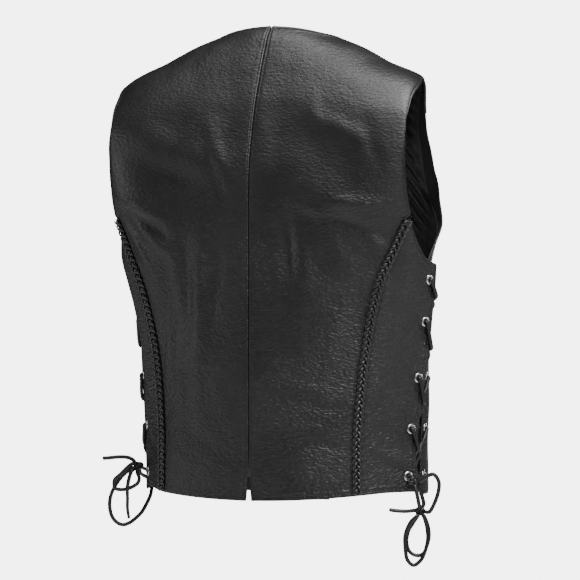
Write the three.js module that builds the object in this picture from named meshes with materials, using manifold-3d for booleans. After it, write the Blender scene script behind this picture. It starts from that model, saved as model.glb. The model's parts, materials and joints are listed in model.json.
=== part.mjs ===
// Leather vest in its worn form, hollow, with no wearer. Millimetres, +Z up.
// The fronts face -Y, the back faces +Y, and +X is the wearer's left.
// The origin lies between the middles of the two shoulder seams, where the shoulders hold the vest.
import * as THREE from 'three';
import { mergeVertices } from 'three/addons/utils/BufferGeometryUtils.js';
import Module from 'manifold-3d';

const wasm = await Module();
wasm.setup();

// Driving dimensions
const LEATHER = 2.2;
const LINING = 1.0;
const SEAM_GAP = 0.3;
const BRAID_WIDTH = 15;
const BRAID_PERIOD = 9.3;
const BRAID_HEIGHT = 3.4;
const BRAID_EDGE = 0.6;
const BRAID_LIFT = 0.9;
const EYELET_EDGE = 11;
const EYELET_HEIGHTS = [-300, -357, -433, -502, -566];
const EYELET_OUTER = 7;
const EYELET_HOLE = 3.6;
const EYELET_BARREL = 4.5;
const EYELET_FLANGE = 0.8;
const EYELET_SEAT = 0.8;
const EYELET_SIDES = 8;
const DRILL_LENGTH = 14;
const LACE_RADIUS = 1.8;
const LACE_CLEAR = LACE_RADIUS + 2;
const LACE_OUT = 4;
const LACE_OVER = 5.2;
const LACE_UNDER = -6.6;
const LACE_PAST = 2;
const LACE_BAR = -13;
const LACE_CROSS_HIGH = 2.2;
const LACE_CROSS_LOW = -2.2;
const LACE_SLACK = 1.5;
const KNOT_RADIUS = 5.5;
const KNOT_LONG = 1.25;
const KNOT_FLAT = 0.9;
const VENT_TOP = -545;
const VENT_HALF = 5.6;
const HEM_BACK = -599;
const HEM_RISE = 15;
const HEM_SIDE_REACH = 203;
const HEM_FRONT_RISE = 7;
const HEM_FRONT_DIP = 18;
const OVERLAP = 15;
const OVERLAP_STEP = 2.9;
const SNAP_HEIGHTS = [-262, -345, -428, -511];
const SNAP_RADIUS = 7.5;
const BOW_PEAK = 6.75;
const HEM_POWER = 2;
const RIGHT_ANGLE = Math.PI / 2;

// The bows hang in a plane turned from the back towards the wearer's right: ACROSS points to
// the wearer's right in it, and OUT to the back.
const HANG_TURN = THREE.MathUtils.degToRad(23);
const ACROSS = new THREE.Vector3(-Math.cos(HANG_TURN), -Math.sin(HANG_TURN), 0);
const OUT = new THREE.Vector3(-Math.sin(HANG_TURN), Math.cos(HANG_TURN), 0);
const UP = new THREE.Vector3(0, 0, 1);

// Horizontal sections of the worn garment, from the nape down to below the hem.
// halfBack and halfFront are half widths, centre the y of the side line, back and front the
// depths from it, and the two square columns say how boxy each half is (2 is an ellipse).
const SECTIONS = [
  [50, 44, 44, 0, 19, 18, 2.0, 2.0],
  [46, 56, 56, 0, 23, 22, 2.0, 2.0],
  [33, 82, 82, 0, 36, 32, 2.0, 2.0],
  [15, 127, 127, 0, 46, 42, 2.2, 2.0],
  [-3, 161, 161, 0, 55, 49, 2.5, 2.1],
  [-28, 213, 213, 0, 66, 58, 3.0, 2.2],
  [-51, 229, 215, 0, 76, 65, 3.8, 2.3],
  [-78, 235, 219, -1, 86, 72, 5.3, 2.4],
  [-105, 236, 224, -3, 95, 78, 5.8, 2.5],
  [-142, 236, 231, -8, 108, 95, 4.9, 2.6],
  [-181, 236, 235, -13, 116, 111, 4.0, 2.8],
  [-221, 236, 226, -17, 120, 117, 3.0, 2.7],
  [-250, 237, 217, -20, 123, 118, 2.6, 2.4],
  [-293, 232, 208, -20, 123, 118, 2.4, 2.3],
  [-329, 225, 206.5, -20, 123, 117, 2.2, 2.3],
  [-412, 211, 206, -20, 123, 116, 2.0, 2.3],
  [-467, 206, 206, -20, 123, 118, 2.0, 2.3],
  [-530, 205, 205, -20, 123, 122, 2.0, 2.2],
  [-630, 205, 205, -20, 123, 126, 2.0, 2.2],
].map(([z, halfBack, halfFront, centre, back, front, backSquare, frontSquare]) =>
  ({ z, halfBack, halfFront, centre, back, front, backSquare, frontSquare }));

// Where the plaited seam runs: its distance x from the centre back at each height.
const BRAID_SEAM = [
  { z: -214, x: 216.5 },
  { z: -227, x: 210 },
  { z: -268, x: 192 },
  { z: -300, x: 178 },
  { z: -341, x: 166 },
  { z: -395, x: 155.5 },
  { z: -467, x: 147.5 },
  { z: -530, x: 144 },
  { z: -630, x: 145 },
];

// Lacing edges: where the side panel's edge lies, how much further in it lies on the left, the
// y of the front's edge, and how far each side panel bows out of the straight line across it.
const LACING = [
  { z: -214, panelX: 224, leftIn: 0, panelY: -18, frontY: -26, bowLeft: 0, bowRight: 0 },
  { z: -279, panelX: 226.5, leftIn: 4, panelY: -15, frontY: -26, bowLeft: 16, bowRight: 11 },
  { z: -355, panelX: 220.5, leftIn: 4, panelY: -15, frontY: -24, bowLeft: 14, bowRight: 9 },
  { z: -432, panelX: 213.5, leftIn: 4, panelY: -9, frontY: -22, bowLeft: 7.5, bowRight: 6 },
  { z: -502, panelX: 206.3, leftIn: 4.5, panelY: -1, frontY: -17, bowLeft: 2.5, bowRight: 3 },
  { z: -565, panelX: 204, leftIn: 6.5, panelY: 4, frontY: -12, bowLeft: 1.5, bowRight: 2 },
  { z: -630, panelX: 203.5, leftIn: 7, panelY: 5, frontY: -10, bowLeft: 1.5, bowRight: 2 },
];

// Armhole edges, from the shoulder tip down.
const ARMHOLE_BACK = [
  { z: -28, y: 0 },
  { z: -32, y: 13 },
  { z: -39, y: 29 },
  { z: -53, y: 50 },
  { z: -80, y: 70 },
  { z: -105, y: 77 },
  { z: -142, y: 77.5 },
  { z: -181, y: 70 },
  { z: -214, y: 56 },
];
const ARMHOLE_BOTTOM = [
  { z: -214, y: 56 },
  { z: -234, y: 43 },
  { z: -253, y: 29 },
  { z: -269, y: 10 },
  { z: -279, y: -16 },
];
const ARMHOLE_FRONT = [
  { z: -28, y: 0 },
  { z: -40, y: -12 },
  { z: -60, y: -25 },
  { z: -90, y: -39 },
  { z: -117, y: -51 },
  { z: -159, y: -77 },
  { z: -192, y: -90 },
  { z: -215, y: -80 },
  { z: -235, y: -58 },
  { z: -255, y: -38 },
  { z: -276, y: -25 },
];

// V neck edge of the front, from the shoulder seam down to the centre front.
const NECK_FRONT = [
  { z: 33, x: 82 },
  { z: 5, x: 77 },
  { z: -70, x: 60 },
  { z: -150, x: 35 },
  { z: -235, x: 0 },
];
const NAPE = 46;
const NECK_POINT = NECK_FRONT[0];
const V_POINT = NECK_FRONT.at(-1);

// Largest soft folds. x and z place the middle, lean turns it from upright in degrees,
// long and wide are its half sizes and high is its height, below zero for a trough.
const FOLDS = [
  { x: 112, z: -172, lean: 72, long: 75, wide: 30, high: -5, back: true },
  { x: 60, z: -122, lean: 30, long: 60, wide: 26, high: 2.5, back: true },
  { x: 118, z: -345, lean: -6, long: 90, wide: 24, high: -4, back: true },
  { x: 78, z: -350, lean: 0, long: 95, wide: 22, high: 3, back: true },
  { x: 150, z: -240, lean: 45, long: 50, wide: 24, high: 3, back: true },
  { x: -42, z: -240, lean: 4, long: 80, wide: 24, high: -4, back: true },
  { x: -70, z: -330, lean: 6, long: 80, wide: 24, high: 3, back: true },
  { x: -115, z: -192, lean: 70, long: 75, wide: 26, high: 4, back: true },
  { x: -110, z: -130, lean: 60, long: 65, wide: 26, high: -3, back: true },
  { x: 95, z: -200, lean: 20, long: 70, wide: 24, high: 3, back: false },
  { x: 140, z: -320, lean: 30, long: 70, wide: 24, high: -4, back: false },
  { x: 80, z: -430, lean: 5, long: 90, wide: 24, high: 3, back: false },
  { x: -90, z: -210, lean: -25, long: 70, wide: 24, high: 3, back: false },
  { x: -140, z: -330, lean: -30, long: 75, wide: 24, high: -4, back: false },
  { x: -80, z: -450, lean: -8, long: 85, wide: 24, high: 3, back: false },
];

// Knots and the routes of bow loops and free ends, [across, up, out] from the knot. A loop
// comes back to its knot, and a cord with a to ends on that other knot.
const LOW_KNOT = new THREE.Vector3(-212, 8, -613);
const TIES = {
  left: {
    knotAt: new THREE.Vector3(203.5, 16, -559),
    cords: {
      bow_small: {
        isLoop: true,
        route: [[-8, 3, 5], [-15, -2, 6], [-24, -11, 6], [-33, -20, 5], [-32, -31, 4], [-22, -33, 3],
          [-10, -30, 2], [-1, -24, 2], [1, -17, 2], [-2, -9, 2]],
      },
      bow_large: {
        isLoop: true,
        route: [[-8, -3, -2], [-22, -14, -3], [-34, -31, -3], [-39, -44, -3], [-40, -57, -3], [-37, -70, -3],
          [-31, -78, -3], [-22, -82, -3], [-12, -79, -4], [-4, -73, -6], [4, -65, -8], [12, -51, -12],
          [17, -38, -18], [17, -26, -23], [12, -18, -22], [6, -14, -16], [3, -11, -9]],
      },
      end_side: {
        route: [[-8, 8, -2], [-14, 11, -2], [-27, 12, -1], [-38, 11, 0], [-50, 10, 0]],
      },
      end_down: {
        route: [[-9, -7, 8], [-13, -18, 10], [-15, -30, 10], [-15, -45, 8], [-15, -60, 6], [-13, -73, 4]],
      },
    },
  },
  right: {
    knotAt: new THREE.Vector3(-204, 15, -572),
    cords: {
      tie_a: { to: LOW_KNOT, route: [[3, -7, 2], [5, -15, 4], [7, -24, 4], [8.5, -32, 3]] },
      tie_b: { to: LOW_KNOT, route: [[6, -5, -3], [10, -13, -4], [13, -22, -4], [15, -32, -4]] },
      bow_side: {
        to: LOW_KNOT,
        route: [[9, 0, 0], [17, 5, 0], [28, 9, 0], [35, 0, 0], [35, -13, 0], [29, -31, 0], [22, -42, 1]],
      },
      bow_front: {
        from: LOW_KNOT,
        isLoop: true,
        route: [[-4, -6, 4], [-13, -15, 4], [-20, -32, 4], [-20, -50, 4], [-17, -66, 4], [-9, -73, 4],
          [1, -66, 4], [8, -50, 4], [12, -34, 4], [10, -18, 4], [5, -6, 4]],
      },
      bow_back: {
        from: LOW_KNOT,
        isLoop: true,
        route: [[-4, -8, -3], [-10, -17, -2], [-16, -28, -2], [-18, -42, -2], [-14, -55, -2], [-5, -60, -2],
          [4, -58, -2], [10, -40, -2], [9, -22, -2], [5, -8, -3]],
      },
      end_side: {
        from: LOW_KNOT,
        route: [[-8, 1, 0], [-16, 0, 0], [-26, 0, 0], [-36, 1, 0], [-42, 2, 0]],
      },
    },
  },
};

// Smooth value of a table's column at a height, with no overshoot between the rows.
function column(rows, name, z) {
  const last = rows.length - 1;
  let i = 0;
  while (i < last - 1 && z < rows[i + 1].z) {
    i += 1;
  }
  const step = (k) => rows[k + 1].z - rows[k].z;
  const chord = (k) => (rows[k + 1][name] - rows[k][name]) / step(k);
  const slope = (k) => {
    if (k === 0 || k === last) {
      return chord(Math.min(k, last - 1));
    }
    const before = chord(k - 1);
    const after = chord(k);
    if (before * after <= 0) {
      return 0;
    }
    const mean = (before * step(k) + after * step(k - 1)) / (step(k) + step(k - 1));
    const most = 2 * Math.min(Math.abs(before), Math.abs(after));
    return Math.sign(mean) * Math.min(Math.abs(mean), most);
  };
  const t = THREE.MathUtils.clamp((z - rows[i].z) / step(i), 0, 1);
  const rise = rows[i + 1][name] - rows[i][name];
  const t2 = t * t;
  const t3 = t2 * t;
  return rows[i][name] + rise * (3 * t2 - 2 * t3)
    + step(i) * ((t3 - 2 * t2 + t) * slope(i) + (t3 - t2) * slope(i + 1));
}

// Half section on one side of the side line: its width, depth, squareness and centre.
function halfSection(z, isBack) {
  return {
    half: column(SECTIONS, isBack ? 'halfBack' : 'halfFront', z),
    centre: column(SECTIONS, 'centre', z),
    depth: column(SECTIONS, isBack ? 'back' : 'front', z),
    square: column(SECTIONS, isBack ? 'backSquare' : 'frontSquare', z),
  };
}

// Point of the section at an angle about its centre: 90 degrees is centre back.
function sectionPoint(angle, z) {
  const { half, centre, depth, square } = halfSection(z, angle >= 0);
  const across = Math.abs(Math.cos(angle)) / half;
  const along = Math.abs(Math.sin(angle)) / depth;
  const reach = (across ** square + along ** square) ** (-1 / square);
  return new THREE.Vector3(reach * Math.cos(angle), centre + reach * Math.sin(angle), z);
}

// Angle of the section's point at a given distance x from the middle.
function angleAtWidth(x, z, isBack) {
  const { half, depth, square } = halfSection(z, isBack);
  const share = Math.min(x / half, 1);
  const y = depth * (1 - share ** square) ** (1 / square);
  return isBack ? Math.atan2(y, x) : -Math.atan2(y, x);
}

// Angle of the section's point at a given y.
function angleAtDepth(y, z) {
  const isBack = y >= column(SECTIONS, 'centre', z);
  const { half, centre, depth, square } = halfSection(z, isBack);
  const share = Math.min(Math.abs(y - centre) / depth, 1);
  return Math.atan2(y - centre, half * (1 - share ** square) ** (1 / square));
}

const braidAngle = (z) => angleAtWidth(column(BRAID_SEAM, 'x', z), z, true);
const panelEdgeAngle = (z) => (
  Math.atan2(column(LACING, 'panelY', z) - column(SECTIONS, 'centre', z), column(LACING, 'panelX', z)));
const frontEdgeAngle = (z) => angleAtDepth(column(LACING, 'frontY', z), z);

// Height of all folds at a place of the back or the fronts.
function foldHeight(x, z, isBack) {
  return FOLDS.filter((fold) => fold.back === isBack).reduce((sum, fold) => {
    const lean = THREE.MathUtils.degToRad(fold.lean);
    const dx = x - fold.x;
    const dz = z - fold.z;
    const along = (dx * Math.sin(lean) + dz * Math.cos(lean)) / fold.long;
    const across = (dx * Math.cos(lean) - dz * Math.sin(lean)) / fold.wide;
    return sum + fold.high * Math.exp(-along * along - across * across);
  }, 0);
}

// Normal of a surface of angle and height, by small steps along both.
function normalOf(surface, angle, z) {
  const small = 1e-3;
  const round = surface(angle + small, z).sub(surface(angle - small, z));
  const up = surface(angle, z + small * 100).sub(surface(angle, z - small * 100));
  return round.cross(up).normalize();
}

// Body surface with its folds, for the wearer's left (side 1) or right (side -1),
// drawn on the left: the right half is mirrored when its mesh is made.
function bodySurface(side) {
  return (angle, z) => {
    const point = sectionPoint(angle, z);
    const normal = normalOf(sectionPoint, angle, z);
    return point.addScaledVector(normal, foldHeight(side * point.x, z, angle >= 0));
  };
}

// Side panel, stretched between its seam and its lacing edge with a bow that fades to the edge.
function sidePanelSurface(side) {
  const body = bodySurface(side);
  return (angle, z) => {
    const seam = braidAngle(z);
    const edge = panelEdgeAngle(z);
    const share = (seam - angle) / (seam - edge);
    const from = body(seam, z);
    const x = column(LACING, 'panelX', z) - (side > 0 ? column(LACING, 'leftIn', z) : 0);
    const to = new THREE.Vector3(x, column(LACING, 'panelY', z), z);
    const out = new THREE.Vector3(from.y - to.y, to.x - from.x, 0).normalize();
    const bow = column(LACING, side > 0 ? 'bowLeft' : 'bowRight', z);
    const rise = BOW_PEAK * share * Math.max(1 - share, 0) ** 2;
    return from.lerp(to, share).addScaledVector(out, bow * rise);
  };
}

// A left front lies on the right one at the centre, so it stands out there by one thickness.
function frontSurface(side) {
  const body = bodySurface(side);
  if (side < 0) {
    return body;
  }
  return (angle, z) => {
    const point = body(angle, z);
    const near = 1 - THREE.MathUtils.smoothstep(point.x, OVERLAP + 4, OVERLAP + 44);
    const below = 1 - THREE.MathUtils.smoothstep(z, V_POINT.z + 40, V_POINT.z + 90);
    return point.addScaledVector(normalOf(body, angle, z), OVERLAP_STEP * near * below);
  };
}

// Hem heights of the back and the fronts, by the distance from the middle.
const hemBack = (x) => HEM_BACK + HEM_RISE * (x / HEM_SIDE_REACH) ** HEM_POWER;
const hemFront = (x) => HEM_BACK + HEM_FRONT_RISE - HEM_FRONT_DIP * (1 - x / HEM_SIDE_REACH) ** 1.5;

// A path over the body through surface places, run through by its length.
function surfacePath(places) {
  const points = places.map(([angle, z]) => sectionPoint(angle, z));
  const curve = new THREE.CatmullRomCurve3(points, false, 'centripetal');
  return (t) => {
    const point = curve.getPointAt(THREE.MathUtils.clamp(t, 0, 1));
    return [Math.atan2(point.y - column(SECTIONS, 'centre', point.z), point.x), point.z];
  };
}

// Two paths joined at a share of the whole.
const joined = (first, second, at) => (t) => (
  t < at ? first(t / at) : second((t - at) / (1 - at))
);
const reversed = (path) => (t) => path(1 - t);
const range = (count) => Array.from({ length: count + 1 }, (_, i) => i / count);

// Path between two heights along a line given by its angle at each height.
const heightPath = (angleOf, from, to) => (t) => {
  const z = THREE.MathUtils.lerp(from, to, t);
  return [angleOf(z), z];
};

// Grid over a patch with four edge paths, blended in angle and height (a Coons patch).
function patchGrid({ bottom, top, inner, outer, across, up, surface }) {
  const corners = [inner(0), outer(0), inner(1), outer(1)];
  return up.map((t) => across.map((s) => {
    const [low, high, near, far] = [bottom(s), top(s), inner(t), outer(t)];
    const place = [0, 1].map((k) => (1 - t) * low[k] + t * high[k]
      + (1 - s) * near[k] + s * far[k]
      - (1 - t) * ((1 - s) * corners[0][k] + s * corners[1][k])
      - t * ((1 - s) * corners[2][k] + s * corners[3][k]));
    const point = surface(...place);
    return { point, normal: normalOf(surface, ...place), place };
  }));
}

// Moves the grid's outermost rows or columns inwards, to leave a seam's gap.
function insetEdges(grid, { high = 0, near = 0, far = 0 }) {
  const pull = (from, towards, by) => {
    const step = towards.point.clone().sub(from.point).setLength(by);
    from.point.add(step);
  };
  const rows = grid.length - 1;
  const columns = grid[0].length - 1;
  grid.forEach((row) => {
    if (near) {
      pull(row[0], row[1], near);
    }
    if (far) {
      pull(row[columns], row[columns - 1], far);
    }
  });
  grid[0].forEach((_, j) => {
    if (high) {
      pull(grid[rows][j], grid[rows - 1][j], high);
    }
  });
  return grid;
}

// Closed mesh from vertices and triangles, mirrored for the right side, faces outwards.
function closedMesh(points, triangles) {
  const geometry = new THREE.BufferGeometry();
  const places = points.flatMap((p) => p.toArray());
  geometry.setAttribute('position', new THREE.Float32BufferAttribute(places, 3));
  const volume = triangles.reduce((sum, [a, b, c]) => (
    sum + points[a].dot(points[b].clone().cross(points[c]))), 0);
  const faces = volume < 0 ? triangles.map(([a, b, c]) => [a, c, b]) : triangles;
  geometry.setIndex(faces.flat());
  return geometry;
}

// Wall of a thickness behind a grid: outer skin, inner skin and rim.
function wall(grid, thickness, side, lift = 0) {
  const rows = grid.length;
  const columns = grid[0].length;
  const cells = grid.flat();
  const skin = (depth) => cells.map(({ point, normal }) => {
    const moved = point.clone().addScaledVector(normal, lift - depth);
    moved.x *= side;
    return moved;
  });
  const points = [...skin(0), ...skin(thickness)];
  const inner = rows * columns;
  const triangles = [];
  const quad = (a, b, c, d) => triangles.push([a, b, c], [a, c, d]);
  for (let i = 0; i < rows - 1; i += 1) {
    for (let j = 0; j < columns - 1; j += 1) {
      const a = i * columns + j;
      quad(a, a + 1, a + columns + 1, a + columns);
      quad(inner + a, inner + a + columns, inner + a + columns + 1, inner + a + 1);
    }
  }
  const border = [];
  for (let j = 0; j < columns - 1; j += 1) {
    border.push(j);
  }
  for (let i = 0; i < rows - 1; i += 1) {
    border.push(i * columns + columns - 1);
  }
  for (let j = columns - 1; j > 0; j -= 1) {
    border.push((rows - 1) * columns + j);
  }
  for (let i = rows - 1; i > 0; i -= 1) {
    border.push(i * columns);
  }
  border.forEach((a, k) => {
    const b = border[(k + 1) % border.length];
    quad(b, a, inner + a, inner + b);
  });
  return closedMesh(points, triangles);
}

// Solid of a closed mesh for cutting, and a mesh back from the cut solid.
function solidOf(geometry) {
  const bare = geometry.clone();
  bare.deleteAttribute('normal');
  bare.deleteAttribute('uv');
  const merged = mergeVertices(bare, 1e-4);
  return new wasm.Manifold(new wasm.Mesh({
    numProp: 3,
    vertProperties: new Float32Array(merged.attributes.position.array),
    triVerts: new Uint32Array(merged.index.array),
  }));
}
function geometryOf(solid) {
  const { vertProperties, triVerts } = solid.getMesh();
  const geometry = new THREE.BufferGeometry();
  geometry.setAttribute('position', new THREE.BufferAttribute(new Float32Array(vertProperties), 3));
  geometry.setIndex(Array.from(triVerts));
  return geometry;
}

// Materials
const finish = (color, roughness, metalness) => (
  new THREE.MeshStandardMaterial({ color, roughness, metalness }));
const LEATHER_FINISH = finish(0x1d1c1d, 0.45, 0);
const BRAID_FINISH = finish(0x161516, 0.4, 0);
const LINING_FINISH = finish(0x0b0b0d, 0.35, 0);
const METAL_FINISH = finish(0xb9b9bb, 0.25, 1);
const LACE_FINISH = finish(0x191819, 0.5, 0);

const vest = new THREE.Group();
function add(name, geometry, material) {
  const mesh = new THREE.Mesh(geometry, material);
  mesh.name = name;
  vest.add(mesh);
}

// Frame of a place on a surface: its point, outward normal, and the direction round the body.
function placeFrame(surface, angle, z, side) {
  const point = surface(angle, z);
  const normal = normalOf(surface, angle, z);
  const mirrored = (v) => new THREE.Vector3(v.x * side, v.y, v.z);
  return { point: mirrored(point), normal: mirrored(normal) };
}

// Angle of the place a distance in from a lacing edge.
function angleFromEdge(surface, edgeAngle, z, distance, direction) {
  const edge = surface(edgeAngle, z);
  const near = surface(edgeAngle + direction * 0.02, z);
  return edgeAngle + direction * 0.02 * (distance / edge.distanceTo(near));
}

// Eyelet frames of a side, from the top down, on the side panel and on the front.
function eyeletFrames(side) {
  const panel = sidePanelSurface(side);
  const front = frontSurface(side);
  const at = (surface, edgeOf, z, direction) => {
    const angle = angleFromEdge(surface, edgeOf(z), z, EYELET_EDGE, direction);
    return { ...placeFrame(surface, angle, z, side), surface, edgeOf, side };
  };
  return {
    panel: EYELET_HEIGHTS.map((z) => at(panel, panelEdgeAngle, z, 1)),
    front: EYELET_HEIGHTS.map((z) => at(front, frontEdgeAngle, z, -1)),
  };
}

// Turns a piece that was made along +Z onto a frame's normal and moves it to its point.
function seated(geometry, { point, normal }, lift = 0) {
  const turn = new THREE.Quaternion().setFromUnitVectors(UP, normal);
  geometry.applyQuaternion(turn);
  geometry.translate(...point.clone().addScaledVector(normal, lift).toArray());
  return geometry;
}

// Metal eyelet: a barrel through the leather with a rolled flange on each face.
function eyelet() {
  const out = EYELET_SEAT;
  const under = -LEATHER - EYELET_SEAT;
  const foot = under - EYELET_FLANGE;
  const profile = [
    [EYELET_HOLE, foot],
    [EYELET_OUTER - EYELET_FLANGE, foot],
    [EYELET_OUTER - EYELET_FLANGE, under],
    [EYELET_BARREL, under],
    [EYELET_BARREL, out],
    [EYELET_OUTER, out],
    [(EYELET_OUTER + EYELET_HOLE) / 2, out + 1.5 * EYELET_FLANGE],
    [EYELET_HOLE, out + EYELET_FLANGE / 2],
    [EYELET_HOLE, foot],
  ].map(([r, z]) => new THREE.Vector2(r, z));
  const ring = new THREE.LatheGeometry(profile, EYELET_SIDES);
  ring.rotateX(RIGHT_ANGLE);
  return ring;
}

// Cuts the eyelet holes through a panel.
function withHoles(geometry, frames) {
  return geometryOf(frames.reduce((solid, frame) => {
    const radius = EYELET_BARREL + SEAM_GAP;
    const drill = new THREE.CylinderGeometry(radius, radius, DRILL_LENGTH, EYELET_SIDES);
    drill.rotateX(RIGHT_ANGLE);
    return solid.subtract(solidOf(seated(drill, frame)));
  }, solidOf(geometry)));
}

// Cord along a list of points, with one ring of the section at each of them.
class Route extends THREE.CatmullRomCurve3 {
  getPointAt(u, target) {
    return this.getPoint(u, target);
  }

  getTangentAt(u, target) {
    return this.getTangent(u, target);
  }
}
function cord(points) {
  const section = new THREE.Shape();
  range(8).slice(0, -1).forEach((share, k) => {
    const turn = share * 2 * Math.PI;
    section[k ? 'lineTo' : 'moveTo'](LACE_RADIUS * Math.cos(turn), LACE_RADIUS * Math.sin(turn));
  });
  const extrudePath = new Route(points, false, 'centripetal');
  return new THREE.ExtrudeGeometry(section, { steps: points.length - 1, extrudePath, bevelEnabled: false });
}

// Panels of the back, from the centre seam to the plaited seam and the armhole.
function backPanel(side) {
  const inner = (t) => {
    const z = THREE.MathUtils.lerp(HEM_BACK, NAPE, t);
    return [RIGHT_ANGLE, z];
  };
  const seamFoot = hemBack(column(BRAID_SEAM, 'x', HEM_BACK + HEM_RISE));
  const outer = joined(
    heightPath(braidAngle, seamFoot, BRAID_SEAM[0].z),
    reversed(surfacePath(ARMHOLE_BACK.map(({ y, z }) => [angleAtDepth(y, z), z]))),
    0.6,
  );
  const bottom = (s) => {
    const angle = THREE.MathUtils.lerp(RIGHT_ANGLE, outer(0)[0], s);
    const x = sectionPoint(angle, HEM_BACK).x;
    const share = x / column(BRAID_SEAM, 'x', seamFoot);
    return [angle, THREE.MathUtils.lerp(HEM_BACK, seamFoot, share ** HEM_POWER)];
  };
  const neck = range(8).map((s) => {
    const x = s * NECK_POINT.x;
    const z = NAPE - (NAPE - NECK_POINT.z) * s ** 2;
    return [angleAtWidth(x, z, true), z];
  });
  const shoulder = heightPath(() => 0, NECK_POINT.z, ARMHOLE_BACK[0].z);
  const top = joined(surfacePath(neck), shoulder, 0.4);
  const across = [0, 0.12, 0.23, 0.32, 0.4, 0.52, 0.64, 0.76, 0.88, 1];
  const up = [...range(11).map((t) => t * 0.6), ...range(11).slice(1).map((t) => 0.6 + t * 0.4)];
  const grid = patchGrid({ bottom, top, inner, outer, across, up, surface: bodySurface(side) });
  insetEdges(grid, { high: SEAM_GAP, near: SEAM_GAP / 2, far: SEAM_GAP / 2 });
  grid.forEach((row) => {
    const open = THREE.MathUtils.clamp((VENT_TOP - row[0].point.z) / (VENT_TOP - HEM_BACK), 0, 1);
    row[0].point.x += VENT_HALF * open;
  });
  return wall(grid, LEATHER, side);
}

function sideBackPanel(side, frames) {
  const inner = heightPath(braidAngle, hemBack(145), BRAID_SEAM[0].z);
  const outer = heightPath(panelEdgeAngle, hemBack(HEM_SIDE_REACH), ARMHOLE_BOTTOM.at(-1).z);
  const bottom = (s) => {
    const angle = THREE.MathUtils.lerp(inner(0)[0], outer(0)[0], s);
    return [angle, THREE.MathUtils.lerp(inner(0)[1], outer(0)[1], s)];
  };
  const top = surfacePath(ARMHOLE_BOTTOM.map(({ y, z }) => [angleAtDepth(y, z), z]));
  const across = [0, 0.22, 0.44, 0.66, 0.88, 1];
  const surface = sidePanelSurface(side);
  const grid = patchGrid({ bottom, top, inner, outer, across, up: range(12), surface });
  insetEdges(grid, { near: 3 * SEAM_GAP });
  return withHoles(wall(grid, LEATHER, side), frames);
}

// Front, from the centre edge and V neck to the lacing edge and the armhole.
function frontPatch(side) {
  const pastCentre = (z) => -2 * RIGHT_ANGLE - angleAtWidth(OVERLAP, z, false);
  const neckEdge = NECK_FRONT.slice(0, -1).reverse().map(({ x, z }) => [angleAtWidth(x, z, false), z]);
  const neck = surfacePath([[pastCentre(V_POINT.z), V_POINT.z], ...neckEdge]);
  const inner = joined(heightPath(pastCentre, hemFront(0), V_POINT.z), neck, 0.55);
  const outer = joined(
    heightPath(frontEdgeAngle, hemFront(HEM_SIDE_REACH), ARMHOLE_FRONT.at(-1).z),
    reversed(surfacePath(ARMHOLE_FRONT.map(({ y, z }) => [angleAtDepth(y, z), z]))),
    0.55,
  );
  const bottom = (s) => {
    const angle = THREE.MathUtils.lerp(inner(0)[0], outer(0)[0], s);
    const x = Math.max(sectionPoint(angle, HEM_BACK).x, 0);
    const share = 1 - Math.min(x / sectionPoint(outer(0)[0], outer(0)[1]).x, 1);
    return [angle, outer(0)[1] - HEM_FRONT_DIP * share ** 1.5];
  };
  const top = heightPath(() => -1e-4, NECK_POINT.z, ARMHOLE_FRONT[0].z);
  return { bottom, top, inner, outer, surface: frontSurface(side) };
}
function frontGrid(side) {
  const up = [...range(10).map((t) => t * 0.55), ...range(11).slice(1).map((t) => 0.55 + t * 0.45)];
  const across = [0, 0.1, 0.22, 0.36, 0.5, 0.64, 0.78, 0.9, 0.96, 1];
  return insetEdges(patchGrid({ ...frontPatch(side), across, up }), { high: SEAM_GAP });
}
function frontPanel(side, frames) {
  return withHoles(wall(frontGrid(side), LEATHER, side), frames);
}

// Lining inside a front: the front's own grid moved inwards, clear of its edges and lacing.
function frontLining(side) {
  const grid = frontGrid(side).slice(1, -1).map((row) => row.slice(2, -2));
  return wall(grid, LINING, side, -LEATHER - SEAM_GAP);
}

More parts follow.
